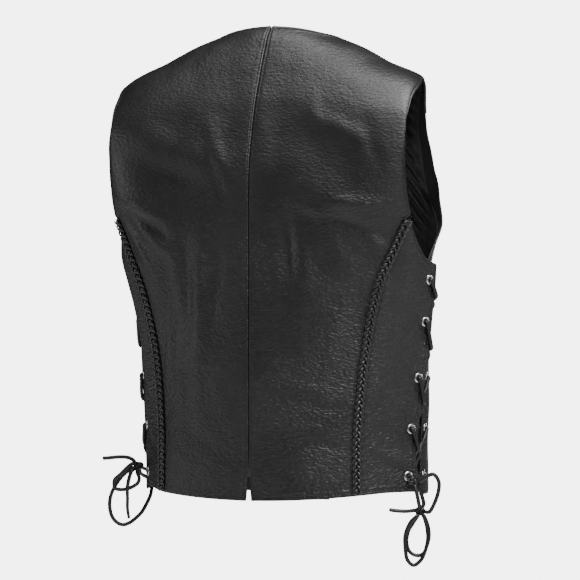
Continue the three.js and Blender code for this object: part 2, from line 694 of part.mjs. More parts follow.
// Plaited strip over the seam: two rows of crests, half a period apart.
function braid(side) {
  const body = bodySurface(side);
  const panel = sidePanelSurface(side);
  const from = hemBack(145) + 1;
  const to = BRAID_SEAM[0].z - BRAID_WIDTH;
  const seam = range(160).map((t) => {
    const z = THREE.MathUtils.lerp(from, to, t);
    return body(braidAngle(z), z);
  });
  const length = seam.slice(1).reduce((sum, p, k) => sum + p.distanceTo(seam[k]), 0);
  const halfPeriods = Math.round((2 * length) / BRAID_PERIOD);
  const lay = [
    { across: -BRAID_WIDTH / 2, low: BRAID_EDGE, high: BRAID_EDGE },
    { across: -BRAID_WIDTH / 4, low: BRAID_HEIGHT * 0.45, high: BRAID_HEIGHT },
    { across: 0, low: BRAID_HEIGHT * 0.5, high: BRAID_HEIGHT * 0.5 },
    { across: BRAID_WIDTH / 4, low: BRAID_HEIGHT, high: BRAID_HEIGHT * 0.45 },
    { across: BRAID_WIDTH / 2, low: BRAID_EDGE, high: BRAID_EDGE },
  ];
  const rings = range(halfPeriods).map((t, i) => {
    const z = THREE.MathUtils.lerp(from, to, t);
    const angle = braidAngle(z);
    const radius = sectionPoint(angle, z).setZ(0).length();
    const places = lay.map(({ across, low, high }) => {
      const surface = across < 0 ? body : panel;
      const at = angle - across / radius;
      const height = i % 2 ? high : low;
      const normal = normalOf(surface, at, z);
      const foot = surface(at, z).addScaledVector(normal, BRAID_LIFT);
      return { foot, crest: foot.clone().addScaledVector(normal, height) };
    });
    const ring = [...places.map(({ crest }) => crest), places[4].foot, places[2].foot, places[0].foot];
    return ring.map((p) => p.multiply(new THREE.Vector3(side, 1, 1)));
  });
  const count = rings[0].length;
  const triangles = [];
  for (let i = 0; i < rings.length - 1; i += 1) {
    for (let j = 0; j < count; j += 1) {
      const a = i * count + j;
      const b = i * count + ((j + 1) % count);
      triangles.push([a, b, b + count], [a, b + count, a + count]);
    }
  }
  const top = (rings.length - 1) * count;
  const caps = [[0, 1, 7], [1, 6, 7], [1, 2, 6], [2, 3, 6], [3, 5, 6], [3, 4, 5]];
  caps.forEach(([a, b, c]) => triangles.push([a, c, b], [top + a, top + b, top + c]));
  return closedMesh(rings.flat(), triangles);
}

// Place off a frame along its normal, and a place between two frames.
const off = ({ point, normal }, height) => point.clone().addScaledVector(normal, height);
function between(a, b, t, height) {
  const normal = a.normal.clone().lerp(b.normal, t).normalize();
  return a.point.clone().lerp(b.point, t).addScaledVector(normal, height);
}

// Rim of the leather beside a frame's lacing edge, at a height.
function rimAt(frame, z) {
  const angle = frame.edgeOf(z);
  return placeFrame(frame.surface, angle, z, frame.side);
}

// One strand of the lacing: out of an eyelet, over its edge, across the gap, under the other
// edge and up through the next eyelet there. The strand that crosses on top rides higher.
function strandPoints(starts, ends, crossing) {
  return starts.slice(0, -1).flatMap((_, i) => {
    const from = i % 2 ? ends[i] : starts[i];
    const to = i % 2 ? starts[i + 1] : ends[i + 1];
    const share = EYELET_EDGE / Math.hypot(from.point.x - to.point.x, from.point.y - to.point.y);
    const over = rimAt(from, THREE.MathUtils.lerp(from.point.z, to.point.z, share));
    const under = rimAt(to, THREE.MathUtils.lerp(to.point.z, from.point.z, share));
    return [
      off(from, -LEATHER / 2),
      off(from, LACE_OUT),
      between(from, over, 0.4, LACE_OVER),
      off(over, LACE_CLEAR),
      between(from, over, 1.45, LACE_PAST),
      between(over, under, 0.5, crossing),
      between(to, under, 1.22, -LEATHER - LACE_CLEAR),
      between(to, under, 0.07, LACE_UNDER),
    ];
  });
}

// Lace of one side: a bar inside the top pair of eyelets, two strands that cross at each gap,
// and the two ends that leave the lowest eyelets for the knot.
function lace({ panel, front }, knot) {
  const first = strandPoints(panel, front, LACE_CROSS_HIGH);
  const second = strandPoints(front, panel, LACE_CROSS_LOW);
  const panelRim = rimAt(panel[0], panel[0].point.z);
  const frontRim = rimAt(front[0], front[0].point.z);
  const bar = [
    between(panel[0], panelRim, 0.15, LACE_UNDER),
    between(panelRim, frontRim, 0.5, LACE_BAR),
    between(front[0], frontRim, 0.2, LACE_UNDER),
  ];
  const lastPanel = [off(panel.at(-1), -LEATHER / 2), off(panel.at(-1), LACE_OUT)];
  const lastFront = [off(front.at(-1), -LEATHER / 2), off(front.at(-1), LACE_OUT)];
  const toKnot = knot.clone().sub(lastFront[1]);
  const reach = toKnot.length() - seatOnKnot(knot, lastFront[1]).distanceTo(knot);
  toKnot.normalize();
  const over = lastFront[1].clone().addScaledVector(toKnot, reach / 2);
  over.addScaledVector(front.at(-1).normal, LACE_SLACK);
  const end = lastFront[1].clone().addScaledVector(toKnot, reach);
  return cord([...lastPanel.reverse(), ...first.reverse(), ...bar, ...second, ...lastFront, over, end]);
}

// Knot: a rounded lump, longest across the bow.
function knot(centre) {
  const lump = new THREE.SphereGeometry(KNOT_RADIUS, 9, 7);
  lump.scale(KNOT_LONG, 1, KNOT_FLAT);
  lump.rotateZ(HANG_TURN);
  lump.translate(...centre.toArray());
  return lump;
}

// Place just off a knot's surface, on the line from its middle to a point.
function seatOnKnot(knotAt, point) {
  const direction = point.clone().sub(knotAt).normalize();
  const across = direction.dot(ACROSS) / KNOT_LONG;
  const out = direction.dot(OUT);
  const up = direction.z / KNOT_FLAT;
  return knotAt.clone().addScaledVector(direction, KNOT_RADIUS / Math.hypot(across, out, up) + SEAM_GAP);
}

// Cord of a bow: its route from a knot, seated on that knot and on the one where it ends.
function bowCord({ from, to, isLoop, route }) {
  const points = route.map(([across, up, out]) => (
    from.clone().addScaledVector(ACROSS, across).addScaledVector(OUT, out).addScaledVector(UP, up)));
  const last = isLoop ? from : to;
  const seats = last ? [seatOnKnot(last, points.at(-1))] : [];
  return cord([seatOnKnot(from, points[0]), ...points, ...seats]);
}

// Snap: a low domed cap on the left front, at the middle of the overlap.
function snap(z) {
  const surface = frontSurface(1);
  const place = placeFrame(surface, -RIGHT_ANGLE, z, 1);
  const profile = [[0, 0], [SNAP_RADIUS, 0], [SNAP_RADIUS, 1], [SNAP_RADIUS * 0.75, 2.6], [0, 3.4]]
    .map(([r, h]) => new THREE.Vector2(r, h));
  const cap = new THREE.LatheGeometry(profile, 12);
  cap.rotateX(RIGHT_ANGLE);
  return seated(cap, place, EYELET_SEAT);
}

for (const [side, hand] of [[1, 'left'], [-1, 'right']]) {
  const frames = eyeletFrames(side);
  add(`back_${hand}`, backPanel(side), LEATHER_FINISH);
  add(`side_back_${hand}`, sideBackPanel(side, frames.panel), LEATHER_FINISH);
  add(`front_${hand}`, frontPanel(side, frames.front), LEATHER_FINISH);
  add(`lining_${hand}`, frontLining(side), LINING_FINISH);
  add(`braid_${hand}`, braid(side), BRAID_FINISH);
  for (const [edge, places] of [['back', frames.panel], ['front', frames.front]]) {
    places.forEach((frame, k) => {
      add(`eyelet_${edge}_${hand}_${k + 1}`, seated(eyelet(), frame), METAL_FINISH);
    });
  }
  const { knotAt, cords } = TIES[hand];
  add(`lace_${hand}`, lace(frames, knotAt), LACE_FINISH);
  add(`knot_${hand}`, knot(knotAt), LACE_FINISH);
  Object.entries(cords).forEach(([name, tie]) => (
    add(`${name}_${hand}`, bowCord({ from: knotAt, ...tie }), LACE_FINISH)));
}
add('knot_low_right', knot(LOW_KNOT), LACE_FINISH);
SNAP_HEIGHTS.forEach((z, k) => add(`snap_${k + 1}`, snap(z), METAL_FINISH));

export default vest;
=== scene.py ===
"""Black leather vest with laced sides, hollow and in its worn form, seen from behind.

Tables and shape functions are in millimetres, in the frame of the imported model; make_object turns
every mesh into metres. The wearer's left is +X, the back +Y, and +Z is up.
"""

import json
import logging
import math
from collections.abc import Callable, Sequence
from dataclasses import dataclass, field
from enum import Enum
from functools import partialmethod
from typing import Any, NamedTuple

import bpy
import numpy as np
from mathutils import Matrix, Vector, noise

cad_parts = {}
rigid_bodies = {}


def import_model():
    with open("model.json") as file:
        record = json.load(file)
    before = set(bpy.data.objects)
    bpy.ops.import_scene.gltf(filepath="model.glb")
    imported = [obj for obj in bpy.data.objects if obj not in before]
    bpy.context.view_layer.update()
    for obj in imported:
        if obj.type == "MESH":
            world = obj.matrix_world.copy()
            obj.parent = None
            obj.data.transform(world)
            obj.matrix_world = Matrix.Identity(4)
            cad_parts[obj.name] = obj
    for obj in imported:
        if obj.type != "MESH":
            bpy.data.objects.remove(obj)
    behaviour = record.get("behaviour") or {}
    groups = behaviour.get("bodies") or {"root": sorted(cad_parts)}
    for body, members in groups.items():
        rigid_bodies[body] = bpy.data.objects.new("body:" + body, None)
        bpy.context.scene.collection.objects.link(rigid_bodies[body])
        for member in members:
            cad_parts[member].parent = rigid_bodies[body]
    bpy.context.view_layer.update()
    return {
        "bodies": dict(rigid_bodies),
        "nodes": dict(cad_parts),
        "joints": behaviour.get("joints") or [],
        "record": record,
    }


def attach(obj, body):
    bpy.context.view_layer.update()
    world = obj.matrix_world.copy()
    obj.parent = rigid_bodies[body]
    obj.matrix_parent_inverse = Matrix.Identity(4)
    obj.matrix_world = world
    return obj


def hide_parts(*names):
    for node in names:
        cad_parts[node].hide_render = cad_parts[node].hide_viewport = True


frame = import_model()

LOG = logging.getLogger("vest")
MM = 0.001
Points = np.ndarray
Triple = tuple[float, float, float]
Path = Callable[[Points], tuple[Points, Points]]
Surface = Callable[[Points, Points], Points]

SIDES = ((1, "left"), (-1, "right"))

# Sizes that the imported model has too, in millimetres
LEATHER = 2.2
SEAM_GAP = 0.3
BRAID_PERIOD = 9.3
EYELET_EDGE = 11
EYELET_HEIGHTS = (-300, -357, -433, -502, -566)
EYELET_OUTER = 7
EYELET_HOLE = 3.6
EYELET_BARREL = 4.5
KNOT_RADIUS = 5.5
KNOT_LONG = 1.25
KNOT_FLAT = 0.9
VENT_TOP = -545
VENT_HALF = 5.6
VENT_REACH = 0.12
HEM_BACK = -599
HEM_RISE = 15
HEM_SIDE_REACH = 203
HEM_FRONT_RISE = 7
HEM_FRONT_DIP = 18
HEM_POWER = 2
OVERLAP = 15
OVERLAP_STEP = 2.9
SNAP_HEIGHTS = (-262, -345, -428, -511)
SNAP_RADIUS = 7.5
BOW_PEAK = 6.75
NAPE = 46

# Heights of the laces over the leather, in millimetres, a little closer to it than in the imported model
LACE_CLEAR = 2.3
LACE_OUT = 2.9
LACE_OVER = 3.0
LACE_UNDER = -5.6
LACE_PAST = 0.6
LACE_BAR = -13
LACE_CROSS_HIGH = 2.2
LACE_CROSS_LOW = -2.2
LACE_SLACK = 1.5

# Top stitching and the rolled rim's rows, in millimetres from the edge
STITCH_IN = 5.2
RIM_ROWS = (0.25, 0.7, 1.3)

# Angles, and the directions across, out of and up the view that the bows are drawn in
RIGHT_ANGLE = math.pi / 2
HANG_TURN = math.radians(23)
ACROSS = np.array([-math.cos(HANG_TURN), -math.sin(HANG_TURN), 0])
OUT = np.array([-math.sin(HANG_TURN), math.cos(HANG_TURN), 0])
UP = np.array([0.0, 0.0, 1.0])


def rows_of(kind: type, rows: Sequence[tuple], *more: Any) -> tuple:
    """Rows of a table as one kind of tuple, each with the same last values."""
    return tuple(kind(*row, *more) for row in rows)


class Section(NamedTuple):
    """Horizontal section: half widths, y of the side line, depths from it, and how boxy it is."""

    z: float
    half_back: float
    half_front: float
    centre: float
    back: float
    front: float
    back_square: float
    front_square: float


SECTIONS = rows_of(Section, (
    (50, 44, 44, 0, 19, 18, 2.0, 2.0), (46, 56, 56, 0, 23, 22, 2.0, 2.0),
    (33, 82, 82, 0, 36, 32, 2.0, 2.0), (15, 127, 127, 0, 46, 42, 2.2, 2.0),
    (-3, 161, 161, 0, 55, 49, 2.5, 2.1), (-28, 213, 213, 0, 66, 58, 3.0, 2.2),
    (-51, 229, 215, 0, 76, 65, 3.8, 2.3), (-78, 235, 219, -1, 86, 72, 5.3, 2.4),
    (-105, 236, 224, -3, 95, 78, 5.8, 2.5), (-142, 236, 231, -8, 108, 95, 4.9, 2.6),
    (-181, 236, 235, -13, 116, 111, 4.0, 2.8), (-221, 236, 226, -17, 120, 117, 3.0, 2.7),
    (-250, 237, 217, -20, 123, 118, 2.6, 2.4), (-293, 232, 208, -20, 123, 118, 2.4, 2.3),
    (-329, 225, 206.5, -20, 123, 117, 2.2, 2.3), (-412, 211, 206, -20, 123, 116, 2.0, 2.3),
    (-467, 206, 206, -20, 123, 118, 2.0, 2.3), (-530, 205, 205, -20, 123, 122, 2.0, 2.2),
    (-630, 205, 205, -20, 123, 126, 2.0, 2.2),
))


class SeamPlace(NamedTuple):
    """Where the plaited seam runs: its distance x from the centre back at a height."""

    z: float
    x: float


BRAID_SEAM = rows_of(SeamPlace, (
    (-214, 216.5), (-227, 210), (-268, 192), (-300, 178), (-341, 166), (-395, 155.5), (-467, 147.5),
    (-530, 144), (-630, 145),
))


class LacingPlace(NamedTuple):
    """Lacing edges at a height, how far in the left one lies, and how far each panel bows out."""

    z: float
    panel_x: float
    left_in: float
    panel_y: float
    front_y: float
    bow_left: float
    bow_right: float


LACING = rows_of(LacingPlace, (
    (-214, 224, 0, -18, -26, 0, 0), (-279, 226.5, 4, -15, -26, 16, 11), (-355, 220.5, 4, -15, -24, 14, 9),
    (-432, 213.5, 4, -9, -22, 7.5, 6), (-502, 206.3, 4.5, -1, -17, 2.5, 3),
    (-565, 204, 6.5, 4, -12, 1.5, 2), (-630, 203.5, 7, 5, -10, 1.5, 2),
))

# Armhole edges from the shoulder tip down, as (y, z), and the V neck edge as (x, z)
ARMHOLE_BACK = (
    (0, -28), (13, -32), (29, -39), (50, -53), (70, -80), (77, -105), (77.5, -142), (70, -181), (56, -214),
)
ARMHOLE_BOTTOM = ((56, -214), (43, -234), (29, -253), (10, -269), (-16, -279))
ARMHOLE_FRONT = (
    (0, -28), (-12, -40), (-25, -60), (-39, -90), (-51, -117), (-77, -159), (-90, -192), (-80, -215),
    (-58, -235), (-38, -255), (-25, -276),
)
NECK_FRONT = ((82, 33), (77, 5), (60, -70), (35, -150), (0, -235))


class Fold(NamedTuple):
    """Soft fold: middle, lean from upright in degrees, half sizes, and height or depth."""

    x: float
    z: float
    lean: float
    long: float
    wide: float
    high: float
    back: bool


BROAD_FOLDS = rows_of(Fold, (
    (112, -172, 72, 75, 30, -5), (60, -122, 30, 60, 26, 2.5), (118, -345, -6, 90, 24, -4),
    (78, -350, 0, 95, 22, 3), (150, -240, 45, 50, 24, 3), (-42, -240, 4, 80, 24, -4),
    (-70, -330, 6, 80, 24, 3), (-115, -192, 70, 75, 26, 4), (-110, -130, 60, 65, 26, -3),
), True) + rows_of(Fold, (
    (95, -200, 20, 70, 24, 3), (140, -320, 30, 70, 24, -4), (80, -430, 5, 90, 24, 3),
    (-90, -210, -25, 70, 24, 3), (-140, -330, -30, 75, 24, -4), (-80, -450, -8, 85, 24, 3),
), False)

# Smaller creases and ridges: the back as it shows, the fronts in the same manner
CREASES = rows_of(Fold, (
    (-22, -572, 32, 26, 7, 1.6), (185, -477, 16, 62, 5, 2.0), (128, -116, 70, 70, 22, 3.4),
    (118, -158, 72, 66, 20, -3.2), (-24, -150, 12, 70, 20, 2.2), (-150, -330, -10, 60, 20, -2.4),
    (150, -470, 8, 60, 18, -2.2), (45, -132, 22, 38, 7, 2.4), (60, -140, 24, 36, 8, -2.1),
    (165, -204, 68, 42, 9, 3.5), (152, -226, 60, 40, 9, -3.5), (140, -252, 50, 36, 8, 2.6),
    (182, -232, 40, 26, 8, -2.6), (170, -262, 34, 30, 7, 2.4), (112, -292, 6, 52, 10, 2.9),
    (94, -318, 2, 60, 9, -2.7), (74, -292, -3, 50, 9, 2.6), (52, -330, -6, 62, 10, -2.1),
    (30, -282, 3, 48, 9, 1.8), (128, -395, -8, 44, 9, 2.1), (100, -440, 4, 50, 11, -1.9),
    (40, -460, 20, 46, 12, 1.8), (70, -520, 60, 40, 10, -1.4), (115, -540, 68, 34, 8, 1.4),
    (-58, -262, 5, 46, 8, -3.5), (-38, -268, 3, 50, 8, 2.4), (-80, -272, 8, 44, 9, 2.6),
    (-104, -205, 74, 36, 9, 2.9), (-150, -196, 86, 46, 9, 3.2), (-152, -226, 64, 44, 10, -4.2),
    (-120, -246, 30, 34, 9, 2.2), (-176, -248, 34, 34, 8, 2.6), (-130, -96, 66, 46, 12, 2.9),
    (-92, -84, 20, 34, 11, 1.9), (-176, -120, 20, 36, 9, -2.2), (-30, -400, 80, 40, 8, -1.6),
    (-70, -446, 84, 48, 7, 1.4), (-96, -470, 78, 44, 7, -1.4), (-60, -498, 86, 46, 7, 1.3),
    (-104, -524, 82, 36, 7, -1.3), (-30, -520, 70, 30, 8, 1.1), (-118, -380, -14, 46, 9, 2.1),
    (-176, -536, 60, 24, 6, 1.8), (-184, -556, 55, 22, 5, -1.8), (-172, -505, 62, 22, 6, -1.4),
    (-182, -436, 30, 26, 7, -1.6), (176, -440, 24, 34, 7, 1.6), (180, -520, 50, 26, 7, -1.4),
), True) + rows_of(Fold, (
    (120, -165, 24, 46, 10, 2.6), (150, -210, 38, 44, 10, -2.9), (110, -260, 46, 44, 9, 2.2),
    (60, -300, 30, 50, 11, -2.1), (60, -500, 70, 42, 9, 1.6), (150, -470, 20, 46, 10, 1.9),
    (-118, -172, -20, 44, 10, 2.6), (-152, -216, -34, 44, 9, -2.9), (-104, -270, -48, 42, 9, 2.2),
    (-64, -330, -24, 52, 11, -1.9), (-70, -520, -66, 40, 9, 1.6), (-150, -440, -16, 46, 10, 1.9),
), False)


class Lay(Enum):
    """How a stretch of a bow ends."""

    LOOP = 0
    FREE = 1
    TO_LOW_KNOT = 2


class Tie(NamedTuple):
    """Stretch of a bow from its knot: how it ends, and its route as (across, up, out) in millimetres."""

    knot: Points
    lay: Lay
    route: tuple[Triple, ...]


KNOT_LEFT = np.array([203.5, 16.0, -559.0])
KNOT_RIGHT = np.array([-204.0, 15.0, -572.0])
KNOT_LOW = np.array([-212.0, 8.0, -613.0])
TIES = {
    "bow_small_left": Tie(KNOT_LEFT, Lay.LOOP, (
        (-8, 3, 5), (-15, -2, 6), (-24, -11, 6), (-33, -20, 5), (-32, -31, 4), (-22, -33, 3),
        (-10, -30, 2), (-1, -24, 2), (1, -17, 2), (-2, -9, 2),
    )),
    "bow_large_left": Tie(KNOT_LEFT, Lay.LOOP, (
        (-8, -3, -2), (-22, -14, -3), (-34, -31, -3), (-39, -44, -3), (-40, -57, -3), (-37, -70, -3),
        (-31, -78, -3), (-22, -82, -3), (-12, -79, -4), (-4, -73, -6), (4, -65, -8), (12, -51, -12),
        (17, -38, -18), (17, -26, -23), (12, -18, -22), (6, -14, -16), (3, -11, -9),
    )),
    "end_side_left": Tie(KNOT_LEFT, Lay.FREE, (
        (-8, 8, -2), (-14, 11, -2), (-27, 12, -1), (-38, 11, 0), (-50, 10, 0),
    )),
    "end_down_left": Tie(KNOT_LEFT, Lay.FREE, (
        (-9, -7, 8), (-13, -18, 10), (-15, -30, 10), (-15, -45, 8), (-15, -60, 6), (-13, -73, 4),
    )),
    "tie_a_right": Tie(KNOT_RIGHT, Lay.TO_LOW_KNOT, (
        (3, -7, 2), (5, -15, 4), (7, -24, 4), (8.5, -32, 3),
    )),
    "tie_b_right": Tie(KNOT_RIGHT, Lay.TO_LOW_KNOT, (
        (6, -5, -3), (10, -13, -4), (13, -22, -4), (15, -32, -4),
    )),
    "bow_side_right": Tie(KNOT_RIGHT, Lay.TO_LOW_KNOT, (
        (9, 0, 0), (17, 5, 0), (28, 9, 0), (35, 0, 0), (35, -13, 0), (29, -31, 0), (22, -42, 1),
    )),
    "bow_front_right": Tie(KNOT_LOW, Lay.LOOP, (
        (-4, -6, 4), (-13, -15, 4), (-20, -32, 4), (-20, -50, 4), (-17, -66, 4), (-9, -73, 4),
        (1, -66, 4), (8, -50, 4), (12, -34, 4), (10, -18, 4), (5, -6, 4),
    )),
    "bow_back_right": Tie(KNOT_LOW, Lay.LOOP, (
        (-4, -8, -3), (-10, -17, -2), (-16, -28, -2), (-18, -42, -2), (-14, -55, -2), (-5, -60, -2),
        (4, -58, -2), (10, -40, -2), (9, -22, -2), (5, -8, -3),
    )),
    "end_side_right": Tie(KNOT_LOW, Lay.FREE, (
        (-8, 1, 0), (-16, 0, 0), (-26, 0, 0), (-36, 1, 0), (-42, 2, 0),
    )),
}


@dataclass(frozen=True)
class Profile:
    """Smooth curve of a table's column by height, with no overshoot between the rows."""

    heights: Points
    values: Points
    slopes: Points

    @classmethod
    def of(cls, rows: Sequence[Any], name: str) -> "Profile":
        """Make the curve of one column.

        Args:
            rows: the table, from its highest row down.
            name: the column.

        Returns:
            The curve.
        """
        heights = np.array([row.z for row in rows], float)
        values = np.array([getattr(row, name) for row in rows], float)
        steps = np.diff(heights)
        chords = np.diff(values) / steps
        before, after = chords[:-1], chords[1:]
        mean = (before * steps[1:] + after * steps[:-1]) / (steps[1:] + steps[:-1])
        most = 2 * np.minimum(abs(before), abs(after))
        inner = np.where(before * after <= 0, 0, np.sign(mean) * np.minimum(abs(mean), most))
        return cls(heights, values, np.concatenate([chords[:1], inner, chords[-1:]]))

    def at(self, z: Points) -> Points:
        """Value of the column at heights z.

        Args:
            z: heights in millimetres.

        Returns:
            One value for each height.
        """
        z = np.asarray(z, float)
        i = np.clip(np.searchsorted(-self.heights, -z) - 1, 0, len(self.heights) - 2)
        step = self.heights[i + 1] - self.heights[i]
        t = np.clip((z - self.heights[i]) / step, 0, 1)
        rise = self.values[i + 1] - self.values[i]
        bend = (t**3 - 2 * t**2 + t) * self.slopes[i] + (t**3 - t**2) * self.slopes[i + 1]
        return self.values[i] + rise * (3 * t**2 - 2 * t**3) + step * bend


SHAPE = {name: Profile.of(SECTIONS, name) for name in Section._fields[1:]}
SEAM_X = Profile.of(BRAID_SEAM, "x")
LACE_EDGE = {name: Profile.of(LACING, name) for name in LacingPlace._fields[1:]}


def unit(vectors: Points) -> Points:
    """Vectors of length one along the last axis."""
    return vectors / np.maximum(np.linalg.norm(vectors, axis=-1, keepdims=True), 1e-12)


def spread(first: Points, second: Points) -> list[Points]:
    """Both as arrays of numbers of one shape."""
    return np.broadcast_arrays(np.asarray(first, float), np.asarray(second, float))


def smoothstep(x: Points, low: float, high: float) -> Points:
    """Soft step from 0 at low to 1 at high."""
    t = np.clip((x - low) / (high - low), 0, 1)
    return t * t * (3 - 2 * t)


def half_section(z: Points, is_back: Points) -> tuple[Points, Points, Points, Points]:
    """Half width, side line, depth and squareness of the sections.

    Args:
        z: heights.
        is_back: where the back half is meant.

    Returns:
        Four arrays.
    """
    half = np.where(is_back, SHAPE["half_back"].at(z), SHAPE["half_front"].at(z))
    depth = np.where(is_back, SHAPE["back"].at(z), SHAPE["front"].at(z))
    square = np.where(is_back, SHAPE["back_square"].at(z), SHAPE["front_square"].at(z))
    return half, SHAPE["centre"].at(z), depth, square


def section_point(angle: Points, z: Points) -> Points:
    """Points of the smooth body form.

    Args:
        angle: angles about the section's middle, 90 degrees at the centre back.
        z: heights.

    Returns:
        Points, with x, y and z on the last axis.
    """
    angle, z = spread(angle, z)
    half, centre, depth, square = half_section(z, angle >= 0)
    across = np.abs(np.cos(angle)) / half
    along = np.abs(np.sin(angle)) / depth
    reach = (across**square + along**square) ** (-1 / square)
    return np.stack([reach * np.cos(angle), centre + reach * np.sin(angle), z], axis=-1)


def angle_at_width(x: Points, z: Points, is_back: bool) -> Points:
    """Angles of the section's points at distances x from the middle."""
    x, z = spread(x, z)
    half, _, depth, square = half_section(z, np.full(z.shape, is_back))
    y = depth * (1 - np.minimum(x / half, 1) ** square) ** (1 / square)
    return np.arctan2(y, x) if is_back else -np.arctan2(y, x)


def angle_at_depth(y: Points, z: Points) -> Points:
    """Angles of the section's points at given y."""
    y, z = spread(y, z)
    half, centre, depth, square = half_section(z, y >= SHAPE["centre"].at(z))
    share = np.minimum(np.abs(y - centre) / depth, 1)
    return np.arctan2(y - centre, half * (1 - share**square) ** (1 / square))


def braid_angle(z: Points) -> Points:
    """Angle of the plaited seam at heights z."""
    return angle_at_width(SEAM_X.at(z), z, True)


def panel_edge_angle(z: Points) -> Points:
    """Angle of the side panel's lacing edge at heights z."""
    return np.arctan2(LACE_EDGE["panel_y"].at(z) - SHAPE["centre"].at(z), LACE_EDGE["panel_x"].at(z))


def front_edge_angle(z: Points) -> Points:
    """Angle of the front's lacing edge at heights z."""
    return angle_at_depth(LACE_EDGE["front_y"].at(z), z)


def fold_height(folds: Sequence[Fold], x: Points, z: Points, is_back: Points) -> Points:
    """Sum of the folds' heights at places of the back or the fronts.

    Args:
        folds: the folds.
        x: distances to the wearer's left.
        z: heights.
        is_back: where the back half is meant.

    Returns:
        Heights along the normal.
    """
    total = np.zeros(np.shape(z))
    for fold in folds:
        lean = math.radians(fold.lean)
        dx, dz = x - fold.x, z - fold.z
        along = (dx * math.sin(lean) + dz * math.cos(lean)) / fold.long
        across = (dx * math.cos(lean) - dz * math.sin(lean)) / fold.wide
        total += np.where(is_back == fold.back, fold.high * np.exp(-(along**2) - across**2), 0)
    return total


def normal_of(surface: Surface, angle: Points, z: Points) -> Points:
    """Outward normals of a surface of angle and height, by small steps along both."""
    small = 1e-3
    turn = surface(angle + small, z) - surface(angle - small, z)
    rise = surface(angle, z + small * 100) - surface(angle, z - small * 100)
    return unit(np.cross(turn, rise))


def body_surface(side: int) -> Surface:
    """Body form with its broad folds, drawn on the wearer's left.

    Args:
        side: 1 for the wearer's left, -1 for the right.

    Returns:
        The surface as a function of angle and height.
    """

    def surface(angle: Points, z: Points) -> Points:
        """Points of the folded body form."""
        angle, z = spread(angle, z)
        point = section_point(angle, z)
        height = fold_height(BROAD_FOLDS, side * point[..., 0], z, angle >= 0)
        return point + normal_of(section_point, angle, z) * height[..., None]

    return surface


def side_panel_surface(side: int) -> Surface:
    """Side panel, stretched between its seam and its lacing edge with a bow."""
    body = body_surface(side)
    bow = LACE_EDGE["bow_left" if side > 0 else "bow_right"]

    def surface(angle: Points, z: Points) -> Points:
        """Points of the side panel."""
        angle, z = spread(angle, z)
        seam, edge = braid_angle(z), panel_edge_angle(z)
        share = ((seam - angle) / (seam - edge))[..., None]
        start = body(seam, z)
        x = LACE_EDGE["panel_x"].at(z) - (LACE_EDGE["left_in"].at(z) if side > 0 else 0)
        end = np.stack([x, LACE_EDGE["panel_y"].at(z), z], axis=-1)
        way = end - start
        out = unit(np.stack([-way[..., 1], way[..., 0], 0 * z], axis=-1))
        rise = BOW_PEAK * share * np.maximum(1 - share, 0) ** 2
        return start + way * share + out * rise * bow.at(z)[..., None]

    return surface


def front_surface(side: int) -> Surface:
    """Front: the left one stands out by one thickness where it lies on the right one."""
    body = body_surface(side)
    if side < 0:
        return body
    v_point = NECK_FRONT[-1][1]

    def surface(angle: Points, z: Points) -> Points:
        """Points of the left front."""
        angle, z = spread(angle, z)
        point = body(angle, z)
        near = 1 - smoothstep(point[..., 0], OVERLAP + 4, OVERLAP + 44)
        below = 1 - smoothstep(z, v_point + 40, v_point + 90)
        return point + normal_of(body, angle, z) * (OVERLAP_STEP * near * below)[..., None]

    return surface


def hem_back(x: float) -> float:
    """Height of the back hem at a distance x from the middle."""
    return HEM_BACK + HEM_RISE * (x / HEM_SIDE_REACH) ** HEM_POWER


def hem_front(x: float) -> float:
    """Height of the front hem at a distance x from the middle."""
    return HEM_BACK + HEM_FRONT_RISE - HEM_FRONT_DIP * (1 - x / HEM_SIDE_REACH) ** 1.5


def smooth_line(points: Points, step: float) -> Points:
    """Centripetal curve through points, as a dense polyline.

    Args:
        points: control points, (n, 3).
        step: rough distance between the polyline's points.

    Returns:
        The polyline, which passes through every control point.
    """
    points = np.asarray(points, float)
    ends = [2 * points[0] - points[1], *points, 2 * points[-1] - points[-2]]
    made = []
    for p0, p1, p2, p3 in zip(ends, ends[1:], ends[2:], ends[3:]):
        t = np.cumsum([0, *(np.linalg.norm(b - a) ** 0.5 for a, b in ((p0, p1), (p1, p2), (p2, p3)))])
        count = max(2, round(float(np.linalg.norm(p2 - p1)) / step))
        for u in np.linspace(t[1], t[2], count, endpoint=False):
            a1 = p0 + (p1 - p0) * (u - t[0]) / (t[1] - t[0])
            a2 = p1 + (p2 - p1) * (u - t[1]) / (t[2] - t[1])
            a3 = p2 + (p3 - p2) * (u - t[2]) / (t[3] - t[2])
            b1 = a1 + (a2 - a1) * (u - t[0]) / (t[2] - t[0])
            b2 = a2 + (a3 - a2) * (u - t[1]) / (t[3] - t[1])
            made.append(b1 + (b2 - b1) * (u - t[1]) / (t[2] - t[1]))
    return np.array([*made, points[-1]])


def lengths_along(points: Points) -> Points:
    """Distance of each point of a polyline from its start."""
    return np.concatenate([[0], np.cumsum(np.linalg.norm(np.diff(points, axis=0), axis=1))])


def surface_path(places: Sequence[tuple[float, float]]) -> Path:
    """Path over the body through surface places, run through by its length.

    Args:
        places: pairs of angle and height.

    Returns:
        Angle and height as a function of the share of the whole.
    """
    line = smooth_line(np.array([section_point(angle, z) for angle, z in places]), 1.5)
    along = lengths_along(line) / lengths_along(line)[-1]

    def path(t: Points) -> tuple[Points, Points]:
        """Angle and height at shares of the whole."""
        x, y, z = (np.interp(t, along, line[:, k]) for k in range(3))
        return np.arctan2(y - SHAPE["centre"].at(z), x), z

    return path


